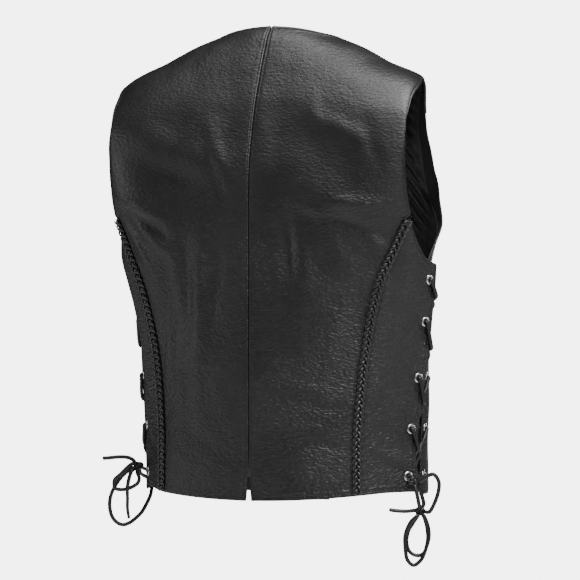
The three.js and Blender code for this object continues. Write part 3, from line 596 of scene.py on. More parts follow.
def height_path(angle_of: Callable[[Points], Points], start: float, stop: float) -> Path:
    """Path between two heights along a line given by its angle at each height."""

    def path(t: Points) -> tuple[Points, Points]:
        """Angle and height at shares of the whole."""
        z = start + (stop - start) * np.asarray(t, float)
        return angle_of(z) + 0 * z, z

    return path


def joined(first: Path, second: Path, at: float) -> Path:
    """Two paths joined at a share of the whole."""

    def path(t: Points) -> tuple[Points, Points]:
        """Angle and height at shares of the whole."""
        t = np.asarray(t, float)
        a = first(np.clip(t / at, 0, 1))
        b = second(np.clip((t - at) / (1 - at), 0, 1))
        return np.where(t < at, a[0], b[0]), np.where(t < at, a[1], b[1])

    return path


def backwards(path: Path) -> Path:
    """The same path from its other end."""
    return lambda t: path(1 - np.asarray(t, float))


@dataclass(frozen=True)
class Patch:
    """Four edge paths of a panel and the surface that it lies on."""

    bottom: Path
    top: Path
    inner: Path
    outer: Path
    surface: Surface

    def points(self, across: Points, up: Points) -> Points:
        """Blend the edges in angle and height.

        Args:
            across: shares from the inner to the outer edge.
            up: shares from the bottom to the top edge.

        Returns:
            A grid of points, (rows, columns, 3).
        """
        s, t = across[None, :], up[:, None]
        low, high = self.bottom(across), self.top(across)
        near, far = self.inner(up), self.outer(up)
        ends = np.array([0.0, 1.0])
        corners = (self.inner(ends), self.outer(ends))
        places = []
        for k in range(2):
            flat = (1 - t) * low[k] + t * high[k] + (1 - s) * near[k][:, None] + s * far[k][:, None]
            base = (1 - t) * ((1 - s) * corners[0][k][0] + s * corners[1][k][0])
            head = t * ((1 - s) * corners[0][k][1] + s * corners[1][k][1])
            places.append(flat - base - head)
        return self.surface(*places)


def shares(count: int, length: float) -> Points:
    """Even shares of an edge, with a few more near its ends for the rolled rim.

    Args:
        count: steps along the whole.
        length: the edge's rough length.

    Returns:
        Shares from 0 to 1.
    """
    even = np.linspace(0, 1, count + 1)
    rim = np.array(RIM_ROWS) / length
    inside = even[(even > LEATHER / length) & (even < 1 - LEATHER / length)]
    return np.concatenate([[0], rim, inside, 1 - rim[::-1], [1]])


class Edge(Enum):
    """Edge of a panel's grid."""

    HEM = 0
    TOP = 1
    INNER = 2
    OUTER = 3


@dataclass
class Grid:
    """Grid of points over a panel, drawn on the wearer's left."""

    points: Points
    side: int
    seam: float = 0
    normals: Points = field(init=False)
    distances: dict[Edge, Points] = field(init=False)

    def __post_init__(self) -> None:
        """Work out the normals and the distances to each edge along the grid's lines."""
        across, up = np.gradient(self.points, axis=1), np.gradient(self.points, axis=0)
        self.normals = unit(np.cross(across, up))
        middle = np.array([0, -20.0, 0])
        if np.median(np.sum((self.points - middle) * self.normals * [1, 1, 0], axis=-1)) < 0:
            self.normals = -self.normals
        row, column = (
            np.insert(np.linalg.norm(np.diff(self.points, axis=k), axis=-1).cumsum(axis=k), 0, 0, axis=k)
            for k in (1, 0)
        )
        self.distances = {
            Edge.INNER: row, Edge.OUTER: row[:, -1:] - row, Edge.HEM: column, Edge.TOP: column[-1:] - column,
        }

    def edge_distance(self) -> Points:
        """Distance of each point to the nearest edge."""
        return np.minimum.reduce(list(self.distances.values()))

    def marked_distance(self) -> Points:
        """Distance to the nearest edge, redrawn beside a seam so that its stitches lie at the usual mark."""
        if not self.seam:
            return self.edge_distance()
        past = self.distances[Edge.INNER] - self.seam
        drawn = STITCH_IN + np.minimum(past, 2.5 + (past - 2.5) * 0.07)
        others = [away for edge, away in self.distances.items() if edge is not Edge.INNER]
        return np.minimum.reduce([drawn, *others])

    def displaced(self, height: Points) -> "Grid":
        """The grid moved out along its normals by a height at each point."""
        return Grid(self.points + self.normals * height[..., None], self.side, self.seam)

    def line(self, edge: Edge, distance: float, start: float = 0, stop: float = 1) -> tuple[Points, Points]:
        """Line that runs beside an edge.

        Args:
            edge: the edge.
            distance: how far in from it.
            start: share along the edge where the line starts.
            stop: share along the edge where the line ends.

        Returns:
            Points and normals on the real side of the body.
        """
        points, normals, away = self.points, self.normals, self.distances[edge]
        if edge in (Edge.HEM, Edge.TOP):
            points, normals, away = points.swapaxes(0, 1), normals.swapaxes(0, 1), away.T
        picked = range(round(start * (len(points) - 1)), round(stop * (len(points) - 1)) + 1)
        found = []
        for i in picked:
            order = np.argsort(away[i])
            found.append([
                [np.interp(distance, away[i][order], lines[i][order, k]) for k in range(3)]
                for lines in (points, normals)
            ])
        both = np.array(found) * [self.side, 1, 1]
        return both[:, 0], unit(both[:, 1])


@dataclass
class MeshData:
    """Points, faces or edges, and the data of the faces or points of a mesh, in millimetres."""

    points: Points
    faces: list[tuple[int, ...]]
    slots: list[int] | None = None
    values: dict[str, Points] = field(default_factory=dict)
    along: Points | None = None
    edges: Sequence[tuple[int, int]] = ()

    def joined(self, other: "MeshData") -> "MeshData":
        """Both meshes as one."""
        step = len(self.points)
        faces = self.faces + [tuple(v + step for v in face) for face in other.faces]
        along = None
        if self.along is not None and other.along is not None:
            along = np.concatenate([self.along, other.along])
        return MeshData(np.concatenate([self.points, other.points]), faces, None, {}, along)


def add_object(name: str, data: Any) -> bpy.types.Object:
    """Put a mesh, light or camera in the scene."""
    made = bpy.data.objects.new(name, data)
    bpy.context.scene.collection.objects.link(made)
    return made


def make_object(name: str, data: MeshData, materials: Sequence[bpy.types.Material]) -> bpy.types.Object:
    """Make a Blender object from mesh data, in metres.

    Args:
        name: the piece's name.
        data: its mesh.
        materials: its materials, in slot order.

    Returns:
        The object, linked to the scene.
    """
    mesh = bpy.data.meshes.new(name)
    mesh.from_pydata((data.points * MM).tolist(), data.edges, data.faces)
    for material in materials:
        mesh.materials.append(material)
    if data.slots is not None:
        mesh.polygons.foreach_set("material_index", np.array(data.slots, dtype=np.int32))
    for key, values in data.values.items():
        kind = "FLOAT" if values.ndim == 1 else "FLOAT_VECTOR"
        layer = mesh.attributes.new(key, kind, "POINT")
        layer.data.foreach_set("value" if values.ndim == 1 else "vector", values.astype(np.float32).ravel())
    if data.along is not None:
        uv = mesh.uv_layers.new(name="length_around")
        corners = np.empty(len(mesh.loops), dtype=np.int32)
        mesh.loops.foreach_get("vertex_index", corners)
        uv.data.foreach_set("uv", data.along[corners].astype(np.float32).ravel())
    mesh.shade_smooth()
    mesh.validate()
    return add_object(name, mesh)


def shell(grid: Grid, thickness: float, depth: float = 0) -> MeshData:
    """Closed thin wall behind a grid, with rolled rims.

    Args:
        grid: the outer skin.
        thickness: the wall.
        depth: how far the whole wall lies behind the grid.

    Returns:
        The mesh: slot 0 outside, slot 1 inside, with each point's distance to the edge.
    """
    rows, columns = grid.points.shape[:2]
    roll = 0.45 * thickness
    away = grid.edge_distance()
    drop = roll - np.sqrt(np.maximum(roll**2 - (roll - np.minimum(away, roll)) ** 2, 0))
    outer = grid.points - grid.normals * (depth + drop)[..., None]
    inner = grid.points - grid.normals * (depth + thickness - drop)[..., None]
    count = rows * columns
    points = np.concatenate([outer.reshape(-1, 3), inner.reshape(-1, 3)]) * [grid.side, 1, 1]
    index = np.arange(count).reshape(rows, columns)
    a, b = index[:-1, :-1].ravel(), index[:-1, 1:].ravel()
    c, d = index[1:, 1:].ravel(), index[1:, :-1].ravel()
    skin = np.stack([a, b, c, d], axis=1)
    border = [*index[0, :-1], *index[:-1, -1], *index[-1, :0:-1], *index[:0:-1, 0]]
    rim = [(q, p, p + count, q + count) for p, q in zip(border, border[1:] + border[:1])]
    faces = [*map(tuple, skin.tolist()), *map(tuple, (skin[:, ::-1] + count).tolist()), *rim]
    first = points[list(faces[0])]
    facing = np.cross(first[1] - first[0], first[2] - first[0])
    if np.dot(facing, grid.normals[0, 0] * [grid.side, 1, 1]) < 0:
        faces = [face[::-1] for face in faces]
    slots = [0] * len(skin) + [1] * len(skin) + [0] * len(rim)
    return MeshData(points, faces, slots, {"edge": np.tile(grid.marked_distance().ravel(), 2) * MM})


def unevenness(grid: Grid, seed: float) -> Points:
    """Slow waviness of worn leather over a grid.

    Args:
        grid: the panel.
        seed: moves the pattern, so that no two panels are alike.

    Returns:
        Heights in millimetres.
    """
    flat = grid.points.reshape(-1, 3) * [grid.side, 1, 1]
    slow = [noise.noise(Vector((x / 46 + seed, y / 46, z / 62))) for x, y, z in flat]
    quick = [noise.noise(Vector((x / 17, y / 17 + seed, z / 21))) for x, y, z in flat]
    return (0.9 * np.array(slow) + 0.28 * np.array(quick)).reshape(grid.points.shape[:2])


def ring_faces(rings: int, sides: int, closed: bool) -> list[tuple[int, ...]]:
    """Faces between rings of points, with a cap at each end unless the rings run round.

    Args:
        rings: how many rings there are.
        sides: points of each ring.
        closed: whether the last ring joins the first one.

    Returns:
        The faces.
    """
    faces = []
    for i in range(rings if closed else rings - 1):
        j = (i + 1) % rings
        for k in range(sides):
            q = (k + 1) % sides
            faces.append((i * sides + k, j * sides + k, j * sides + q, i * sides + q))
    if not closed:
        faces.append(tuple(range(sides)))
        faces.append(tuple((rings - 1) * sides + k for k in reversed(range(sides))))
    return faces


@dataclass(frozen=True)
class Thong:
    """Flat leather thong, swept along a path."""

    width: float = 5.4
    thickness: float = 4.4
    corners: int = 10
    square: float = 2.6

    def sweep(self, path: Points, faces_out: Points, closed: bool = False, taper: bool = True) -> MeshData:
        """Sweep the thong's section along a path.

        Args:
            path: the centreline.
            faces_out: the way its flat side faces at each point.
            closed: whether the path is a ring.
            taper: whether its two ends are rounded off.

        Returns:
            The closed mesh, with the length along it and the turn round it.
        """
        if closed:
            tangent = unit(np.roll(path, -1, axis=0) - np.roll(path, 1, axis=0))
        else:
            tangent = unit(np.gradient(path, axis=0))
        wide = unit(np.cross(tangent, faces_out))
        thick = unit(np.cross(wide, tangent))
        turn = np.linspace(0, 2 * math.pi, self.corners, endpoint=False)
        cos, sin = np.cos(turn), np.sin(turn)
        power = 2 / self.square
        x = self.width / 2 * np.sign(cos) * np.abs(cos) ** power
        y = self.thickness / 2 * np.sign(sin) * np.abs(sin) ** power
        size = np.ones(len(path))
        if taper and not closed:
            size[[0, -1]] = 0.62
            size[[1, -2]] = 0.9
        rings = (
            path[:, None] + wide[:, None] * (x[None, :, None] * size[:, None, None])
            + thick[:, None] * (y[None, :, None] * size[:, None, None])
        )
        n, m = len(path), self.corners
        run = lengths_along(path) * MM
        along = np.stack([np.repeat(run, m), np.tile(turn / (2 * math.pi), n)], axis=1)
        return outward(MeshData(rings.reshape(-1, 3), ring_faces(n, m, closed), along=along))


def outward(data: MeshData) -> MeshData:
    """The mesh with its faces turned outwards, by the sign of its volume."""
    volume = 0.0
    for face in data.faces:
        corners = data.points[list(face)]
        for k in range(1, len(face) - 1):
            volume += float(np.dot(corners[0], np.cross(corners[k], corners[k + 1])))
    if volume < 0:
        data.faces = [face[::-1] for face in data.faces]
    return data


def add_node(tree: Any, kind: str, settings: dict[str, Any], inputs: dict[Any, Any]) -> Any:
    """Add a node to a tree.

    Args:
        tree: the node tree.
        kind: the node's type.
        settings: its properties.
        inputs: values or links of its sockets, by name or number.

    Returns:
        The node's output sockets.
    """
    made = tree.nodes.new(kind)
    for key, value in settings.items():
        setattr(made, key, value)
    for key, value in inputs.items():
        if isinstance(value, bpy.types.NodeSocket):
            tree.links.new(value, made.inputs[key])
        else:
            made.inputs[key].default_value = value
    return made.outputs


class Value:
    """Socket of a shader graph that takes part in Python arithmetic."""

    def __init__(self, graph: "Graph", socket: bpy.types.NodeSocket) -> None:
        """Wrap a socket of a graph."""
        self.graph = graph
        self.socket = socket

    def combined(self, operation: str, other: Any) -> "Value":
        """Result of a Math node on this socket and another value."""
        return self.graph.node("ShaderNodeMath", {"operation": operation}, {0: self, 1: other})

    __add__ = __radd__ = partialmethod(combined, "ADD")
    __sub__ = partialmethod(combined, "SUBTRACT")
    __mul__ = __rmul__ = partialmethod(combined, "MULTIPLY")
    __truediv__ = partialmethod(combined, "DIVIDE")

    def __rsub__(self, other: float) -> "Value":
        """Difference from a number."""
        return self.graph.node("ShaderNodeMath", {"operation": "SUBTRACT"}, {0: other, 1: self})

    def step(self, low: float, high: float) -> "Value":
        """Soft step from 0 at low to 1 at high."""
        settings = {"interpolation_type": "SMOOTHSTEP"}
        return self.graph.node("ShaderNodeMapRange", settings, {"Value": self, 1: low, 2: high})


class Graph:
    """Shader graph of one material."""

    def __init__(self, name: str) -> None:
        """Start an empty material."""
        self.material = bpy.data.materials.new(name)
        self.material.use_nodes = True
        self.tree = self.material.node_tree
        self.tree.nodes.clear()

    def node(self, kind: str, settings: dict[str, Any], inputs: dict[Any, Any], out: Any = 0) -> Value:
        """Add a node, as add_node does, and return its output by name or number."""
        plain = {key: value.socket if isinstance(value, Value) else value for key, value in inputs.items()}
        return Value(self, add_node(self.tree, kind, settings, plain)[out])

    def place(self, scale: Triple = (1, 1, 1), turn: Triple = (0, 0, 0)) -> Value:
        """Object coordinates, scaled and turned."""
        coordinates = self.node("ShaderNodeTexCoord", {}, {}, "Object")
        return self.node("ShaderNodeMapping", {}, {"Vector": coordinates, "Scale": scale, "Rotation": turn})

    def noise(self, vector: Value, scale: float, detail: float = 2, rough: float = 0.5) -> Value:
        """Noise value at a place."""
        inputs = {"Vector": vector, "Scale": scale, "Detail": detail, "Roughness": rough}
        return self.node("ShaderNodeTexNoise", {}, inputs, "Fac")

    def cells(self, vector: Value, scale: float) -> Value:
        """Soft cell pattern at a place."""
        settings = {"feature": "SMOOTH_F1"}
        inputs = {"Vector": vector, "Scale": scale, "Smoothness": 0.35}
        return self.node("ShaderNodeTexVoronoi", settings, inputs, "Distance")

    def attribute(self, name: str) -> Value:
        """Value of a point attribute."""
        return self.node("ShaderNodeAttribute", {"attribute_name": name}, {}, "Fac")

    def tint(self, amount: Value, low: Sequence[float], high: Sequence[float]) -> Value:
        """Colour between two colours."""
        settings = {"data_type": "RGBA"}
        return self.node("ShaderNodeMix", settings, {"Factor": amount, 6: (*low, 1), 7: (*high, 1)}, 2)

    def bump(self, height: Value, distance: float) -> Value:
        """Bump from a height in units of distance, in metres."""
        return self.node("ShaderNodeBump", {}, {"Height": height, "Distance": distance}, "Normal")

    def surface(self, **inputs: Any) -> bpy.types.Material:
        """Finish the material with a principled shader.

        Args:
            inputs: its sockets by name, with underscores for blanks.

        Returns:
            The material.
        """
        sockets = {key.replace("_", " "): value for key, value in inputs.items()}
        shader = self.node("ShaderNodeBsdfPrincipled", {}, sockets, "BSDF")
        add_node(self.tree, "ShaderNodeOutputMaterial", {}, {"Surface": shader.socket})
        return self.material


@dataclass(frozen=True)
class LeatherFinish:
    """Black cowhide: fine pebble grain, slow mottling, growth wrinkles and a pressed stitch line."""

    dark: Triple = (0.003, 0.0029, 0.0031)
    light: Triple = (0.008, 0.0078, 0.0082)
    cell: float = 0.0016
    growth_cells: Triple = (150, 150, 320)
    crease_cells: Triple = (190, 190, 330)
    stitch_in: float = STITCH_IN * MM
    groove: float = 0.0011
    turning: tuple[float, float] = (0.0085, 0.0102)
    waist: float = -0.42
    shoulder: float = -0.05
    relief: float = 0.00028

    def make(self) -> bpy.types.Material:
        """Build the material."""
        graph = Graph("black_leather")
        place = graph.place()
        pebble = graph.cells(place, 1 / self.cell)
        fine = graph.noise(place, 1500, 2, 0.6)
        slow = graph.noise(place, 16, 3, 0.55)
        patchy = graph.noise(place, 60, 3, 0.6)
        rows = graph.noise(graph.place(self.growth_cells, (0.0, 0.12, 0.0)), 1, 3, 0.6)
        creased = graph.cells(graph.place(self.crease_cells), 1)
        growth = graph.noise(place, 9, 1).step(0.38, 0.62) * 0.75 + 0.25
        edge = graph.attribute("edge")
        away = (edge - self.stitch_in) / self.groove
        groove = graph.node("ShaderNodeMath", {"operation": "EXPONENT"}, {0: away * away * -1.0})
        doubled = 1 - edge.step(*self.turning)
        z = graph.node("ShaderNodeSeparateXYZ", {}, {"Vector": place}, "Z")
        worn = 1.7 - z.step(self.waist, self.shoulder) * 1.15
        grain = pebble * 0.42 + fine * 0.16 + (rows * growth * 4.4 + creased * 2.2) * worn
        height = grain + patchy * 1.2 + doubled * 1.6 - groove * 1.7
        rub = slow * 0.55 + patchy * 0.45
        shade = graph.tint(rub, self.dark, self.light)
        rough = 0.37 + rub * 0.2 + pebble * 0.06
        return graph.surface(
            Base_Color=shade, Roughness=rough, Specular_IOR_Level=0.5, Normal=graph.bump(height, self.relief),
        )


@dataclass(frozen=True)
class SuedeFinish:
    """Napped flesh side of the leather, inside the vest."""

    dark: Triple = (0.008, 0.008, 0.008)
    light: Triple = (0.02, 0.019, 0.019)

    def make(self) -> bpy.types.Material:
        """Build the material."""
        graph = Graph("leather_inside")
        place = graph.place()
        nap = graph.noise(place, 900, 3, 0.7)
        slow = graph.noise(place, 22, 3, 0.5)
        shade = graph.tint(nap * 0.5 + slow * 0.5, self.dark, self.light)
        return graph.surface(Base_Color=shade, Roughness=0.88, Normal=graph.bump(nap, 0.0003))


@dataclass(frozen=True)
class LiningFinish:
    """Black satin lining: a fine twill with a soft, uneven sheen."""

    dark: Triple = (0.004, 0.004, 0.0045)
    light: Triple = (0.011, 0.011, 0.012)

    def make(self) -> bpy.types.Material:
        """Build the material."""
        graph = Graph("black_satin")
        place = graph.place()
        twill = graph.node(
            "ShaderNodeTexWave", {"wave_type": "BANDS", "bands_direction": "DIAGONAL"},
            {"Vector": place, "Scale": 900.0, "Distortion": 0.6}, "Fac",
        )
        slow = graph.noise(place, 40, 3, 0.5)
        shade = graph.tint(slow, self.dark, self.light)
        rough = 0.34 + slow * 0.16
        return graph.surface(Base_Color=shade, Roughness=rough, Normal=graph.bump(twill, 0.00006))


@dataclass(frozen=True)
class ThongFinish:
    """Cut leather thong of the laces and plaits: smooth top, fine grain and worn edges."""

    name: str
    dark: Triple
    light: Triple
    rough: float

    def make(self) -> bpy.types.Material:
        """Build the material."""
        graph = Graph(self.name)
        place = graph.place()
        grain = graph.noise(place, 1300, 2, 0.6)
        slow = graph.noise(place, 120, 3, 0.6)
        length = graph.node("ShaderNodeUVMap", {"uv_map": "length_around"}, {}, "UV")
        stretched = graph.node("ShaderNodeMapping", {}, {"Vector": length, "Scale": (90, 26, 1)})
        streak = graph.noise(stretched, 1, 3, 0.6)
        shade = graph.tint(slow * 0.5 + streak * 0.5, self.dark, self.light)
        rough = self.rough + streak * 0.16
        height = grain * 0.4 + streak * 0.8
        return graph.surface(Base_Color=shade, Roughness=rough, Normal=graph.bump(height, 0.0002))


@dataclass(frozen=True)
class NickelFinish:
    """Nickel plate with fine rub marks and a little tarnish."""

    bright: Triple = (0.66, 0.655, 0.65)
    dull: Triple = (0.38, 0.37, 0.36)

    def make(self) -> bpy.types.Material:
        """Build the material."""
        graph = Graph("nickel_plate")
        place = graph.place()
        tarnish = graph.noise(place, 260, 3, 0.6)
        rub = graph.noise(place, 2200, 2, 0.7)
        shade = graph.tint(tarnish.step(0.4, 0.75), self.bright, self.dull)
        rough = 0.2 + tarnish * 0.18
        return graph.surface(Base_Color=shade, Metallic=1.0, Roughness=rough, Normal=graph.bump(rub, 0.00003))


@dataclass(frozen=True)
class ThreadFinish:
    """Waxed black sewing thread with its twist."""

    def make(self) -> bpy.types.Material:
        """Build the material."""
        graph = Graph("black_thread")
        place = graph.place()
        twist = graph.noise(place, 2600, 1)
        shade = graph.tint(twist, (0.003, 0.003, 0.003), (0.012, 0.012, 0.012))
        return graph.surface(Base_Color=shade, Roughness=0.75, Normal=graph.bump(twist, 0.00008))


@dataclass(frozen=True)
class Finishes:
    """All the finishes of the vest."""

    leather: bpy.types.Material
    suede: bpy.types.Material
    lining: bpy.types.Material
    plait: bpy.types.Material
    lace: bpy.types.Material
    nickel: bpy.types.Material
    thread: bpy.types.Material

    @classmethod
    def make(cls) -> "Finishes":
        """Build every material."""
        return cls(
            leather=LeatherFinish().make(),
            suede=SuedeFinish().make(),
            lining=LiningFinish().make(),
            plait=ThongFinish("plait_leather", (0.004, 0.004, 0.004), (0.014, 0.0135, 0.0135), 0.24).make(),
            lace=ThongFinish("lace_leather", (0.003, 0.0029, 0.0029), (0.009, 0.0088, 0.0088), 0.4).make(),
            nickel=NickelFinish().make(),
            thread=ThreadFinish().make(),
        )


class Tree:
    """Geometry Nodes tree with named inputs."""

    def __init__(self, name: str, inputs: dict[str, str]) -> None:
        """Start a tree.

        Args:
            name: its name.
            inputs: socket types by input name, after the geometry itself.
        """
        self.group = bpy.data.node_groups.new(name, "GeometryNodeTree")
        self.keys = {}
        for key, kind in {"Geometry": "NodeSocketGeometry", **inputs}.items():
            self.keys[key] = self.group.interface.new_socket(key, in_out="INPUT", socket_type=kind).identifier
        self.group.interface.new_socket("Geometry", in_out="OUTPUT", socket_type="NodeSocketGeometry")
        self.given = self.group.nodes.new("NodeGroupInput").outputs

    def node(self, kind: str, settings: dict[str, Any], inputs: dict[Any, Any]) -> Any:
        """Add a node, as add_node does, and return its outputs."""
        return add_node(self.group, kind, settings, inputs)

    def facing(self, turned: Any = None) -> Any:
        """Rotation whose Z follows the surface normal kept on the points."""
        kept = {"data_type": "FLOAT_VECTOR"}
        normal = self.node("GeometryNodeInputNamedAttribute", kept, {"Name": "facing"})[0]
        settings = {"axis": "Z", "pivot_axis": "AUTO" if turned is None else "X"}
        inputs = {"Vector": normal} if turned is None else {"Vector": normal, "Rotation": turned}
        return self.node("FunctionNodeAlignRotationToVector", settings, inputs)[0]

    def end(self, geometry: Any) -> None:
        """Finish the tree: instances made real, smooth and dressed."""
        real = self.node("GeometryNodeRealizeInstances", {}, {0: geometry})[0]
        smooth = self.node("GeometryNodeSetShadeSmooth", {}, {0: real, "Shade Smooth": True})[0]
        dressed = self.node("GeometryNodeSetMaterial", {}, {0: smooth, "Material": self.given["Material"]})[0]
        self.group.links.new(dressed, self.group.nodes.new("NodeGroupOutput").inputs[0])

    def apply(self, piece: bpy.types.Object, values: dict[str, Any]) -> bpy.types.Object:
        """Run the tree on an object and keep the result as its plain mesh.

        Args:
            piece: the object with the points or lines.
            values: the tree's inputs by name.

        Returns:
            The same object, with the made mesh.
        """
        modifier = piece.modifiers.new(self.group.name, "NODES")
        modifier.node_group = self.group
        for key, value in values.items():
            modifier[self.keys[key]] = value
        return plain_mesh(piece)


def plain_mesh(piece: bpy.types.Object) -> bpy.types.Object:
    """Turn an object's evaluated result into its plain mesh and drop its modifiers."""
    bpy.context.view_layer.update()
    graph = bpy.context.evaluated_depsgraph_get()
    mesh = bpy.data.meshes.new_from_object(piece.evaluated_get(graph), depsgraph=graph)
    piece.modifiers.clear()
    old = piece.data
    piece.data = mesh
    bpy.data.meshes.remove(old)
    mesh.name = piece.name
    return piece


def stitch_tree() -> Tree:
    """Tree that sews a row of stitches along each line of a mesh."""
    kinds = {name: "NodeSocketFloat" for name in ("Pitch", "Length", "Width", "Height")}
    tree = Tree("stitch_row", {**kinds, "Material": "NodeSocketMaterial"})
    curve = tree.node("GeometryNodeMeshToCurve", {}, {0: tree.given["Geometry"]})[0]
    steps = {"Curve": curve, "Length": tree.given["Pitch"]}
    even = tree.node("GeometryNodeResampleCurve", {"mode": "LENGTH"}, steps)[0]
    tangent = tree.node("GeometryNodeInputTangent", {}, {})[0]
    turned = tree.node("FunctionNodeAlignRotationToVector", {"axis": "X"}, {"Vector": tangent})[0]
    bead = tree.node("GeometryNodeMeshUVSphere", {}, {"Segments": 6, "Rings": 4, "Radius": 0.5})[0]
    size = tree.node("ShaderNodeCombineXYZ", {}, {
        "X": tree.given["Length"], "Y": tree.given["Width"], "Z": tree.given["Height"],
    })[0]
    uneven = tree.node("FunctionNodeRandomValue", {"data_type": "FLOAT_VECTOR"}, {
        0: (0.86, 0.9, 0.9), 1: (1.05, 1.1, 1.1), "Seed": 7,
    })[0]
    scale = tree.node("ShaderNodeVectorMath", {"operation": "MULTIPLY"}, {0: size, 1: uneven})[0]
    placed = tree.node("GeometryNodeInstanceOnPoints", {}, {
        "Points": even, "Instance": bead, "Rotation": tree.facing(turned), "Scale": scale,
    })[0]
    tree.end(placed)
    return tree


def fitting_tree() -> Tree:
    """Tree that sets a metal fitting on each point of a mesh, along its normal."""
    tree = Tree("fitting_row", {"Fitting": "NodeSocketObject", "Material": "NodeSocketMaterial"})
    given = {"Object": tree.given["Fitting"]}
    shape = tree.node("GeometryNodeObjectInfo", {"transform_space": "ORIGINAL"}, given)
    placed = tree.node("GeometryNodeInstanceOnPoints", {}, {
        "Points": tree.given["Geometry"], "Instance": shape["Geometry"], "Rotation": tree.facing(),
    })[0]
    tree.end(placed)
    return tree


def lathe(name: str, profile: Sequence[tuple[float, float]], sides: int, closed: bool) -> bpy.types.Object:
    """Turned shape about Z.

    Args:
        name: its name.
        profile: pairs of radius and height.
        sides: steps round it.
        closed: whether the profile is a ring, or else runs from axis to axis.

    Returns:
        The object, in metres.
    """
    turn = np.linspace(0, 2 * math.pi, sides, endpoint=False)
    points = np.array([(r * math.cos(a), r * math.sin(a), h) for r, h in profile for a in turn])
    faces = [face[:1] + face[:0:-1] for face in ring_faces(len(profile), sides, closed)]
    return make_object(name, outward(MeshData(points, faces)), [])


def set_fittings(
    name: str, shape: bpy.types.Object, places: Sequence[tuple[Points, Points]], material: bpy.types.Material,
) -> bpy.types.Object:
    """Set copies of a fitting at places.

    Args:
        name: the piece's name.
        shape: the fitting.
        places: points and normals.
        material: its material.

    Returns:
        The fittings as one mesh.
    """
    points, normals = (np.array(column) for column in zip(*places))
    piece = make_object(name, MeshData(points, [], values={"facing": normals}), [])
    return fitting_tree().apply(piece, {"Fitting": shape, "Material": material})


def dress(piece: bpy.types.Object, slot: str, *nodes: str) -> bpy.types.Object:
    """Ride on the vest's body and stand for CAD nodes.

    Args:
        piece: the finished object.
        slot: the record's material slot; not used.
        nodes: the CAD nodes that it replaces.

    Returns:
        The object.
    """
    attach(piece, "root")
    if nodes:
        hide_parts(*nodes)
    LOG.info("%s: %d faces", piece.name, len(piece.data.polygons))
    return piece


@dataclass(frozen=True)
class EyeletFrame:
    """Place of an eyelet with its outward normal, and the leather's edge beside it."""

    point: Points
    normal: Points
    surface: Surface
    edge_of: Callable[[Points], Points]
    side: int

    def rim(self, z: float) -> "EyeletFrame":
        """Frame on the edge of the leather at a height."""
        placed = place_on(self.surface, float(self.edge_of(np.array(z))), z, self.side)
        return EyeletFrame(*placed, self.surface, self.edge_of, self.side)


Frames = dict[str, list[EyeletFrame]]
Route = list[tuple[Points, Points]]


def place_on(surface: Surface, angle: float, z: float, side: int) -> tuple[Points, Points]:
    """Point and outward normal of a surface place, on the real side of the body."""
    mirror = np.array([side, 1, 1])
    return surface(angle, z) * mirror, normal_of(surface, angle, z) * mirror


def between(a: EyeletFrame, b: EyeletFrame, share: float, height: float) -> tuple[Points, Points]:
    """Place between two frames, raised along the blended normal, with that normal."""
    normal = unit(a.normal + (b.normal - a.normal) * min(share, 1))
    return a.point + (b.point - a.point) * share + normal * height, normal


class Row(NamedTuple):
    """Row of stitches beside a panel's edge: where it starts and stops, and how far in it lies."""

    panel: str
    edge: Edge
    start: float = 0
    stop: float = 1
    distance: float = STITCH_IN


class Stitch(NamedTuple):
    """Pitch and size of one stitch in millimetres, named as the tree's inputs are."""

    Pitch: float = 4.2
    Length: float = 2.4
    Width: float = 1.15
    Height: float = 0.75


SEWN = (
    Row("back", Edge.OUTER, 0.615, 0.995), Row("back", Edge.TOP, 0.02, 0.985), Row("back", Edge.HEM, 0.02),
    Row("side_back", Edge.HEM), Row("side_back", Edge.TOP, 0.1, 0.98),
    Row("side_back", Edge.OUTER, distance=4.0), Row("front", Edge.INNER), Row("front", Edge.HEM),
    Row("front", Edge.OUTER), Row("front", Edge.TOP, 0.03, 0.97),
)


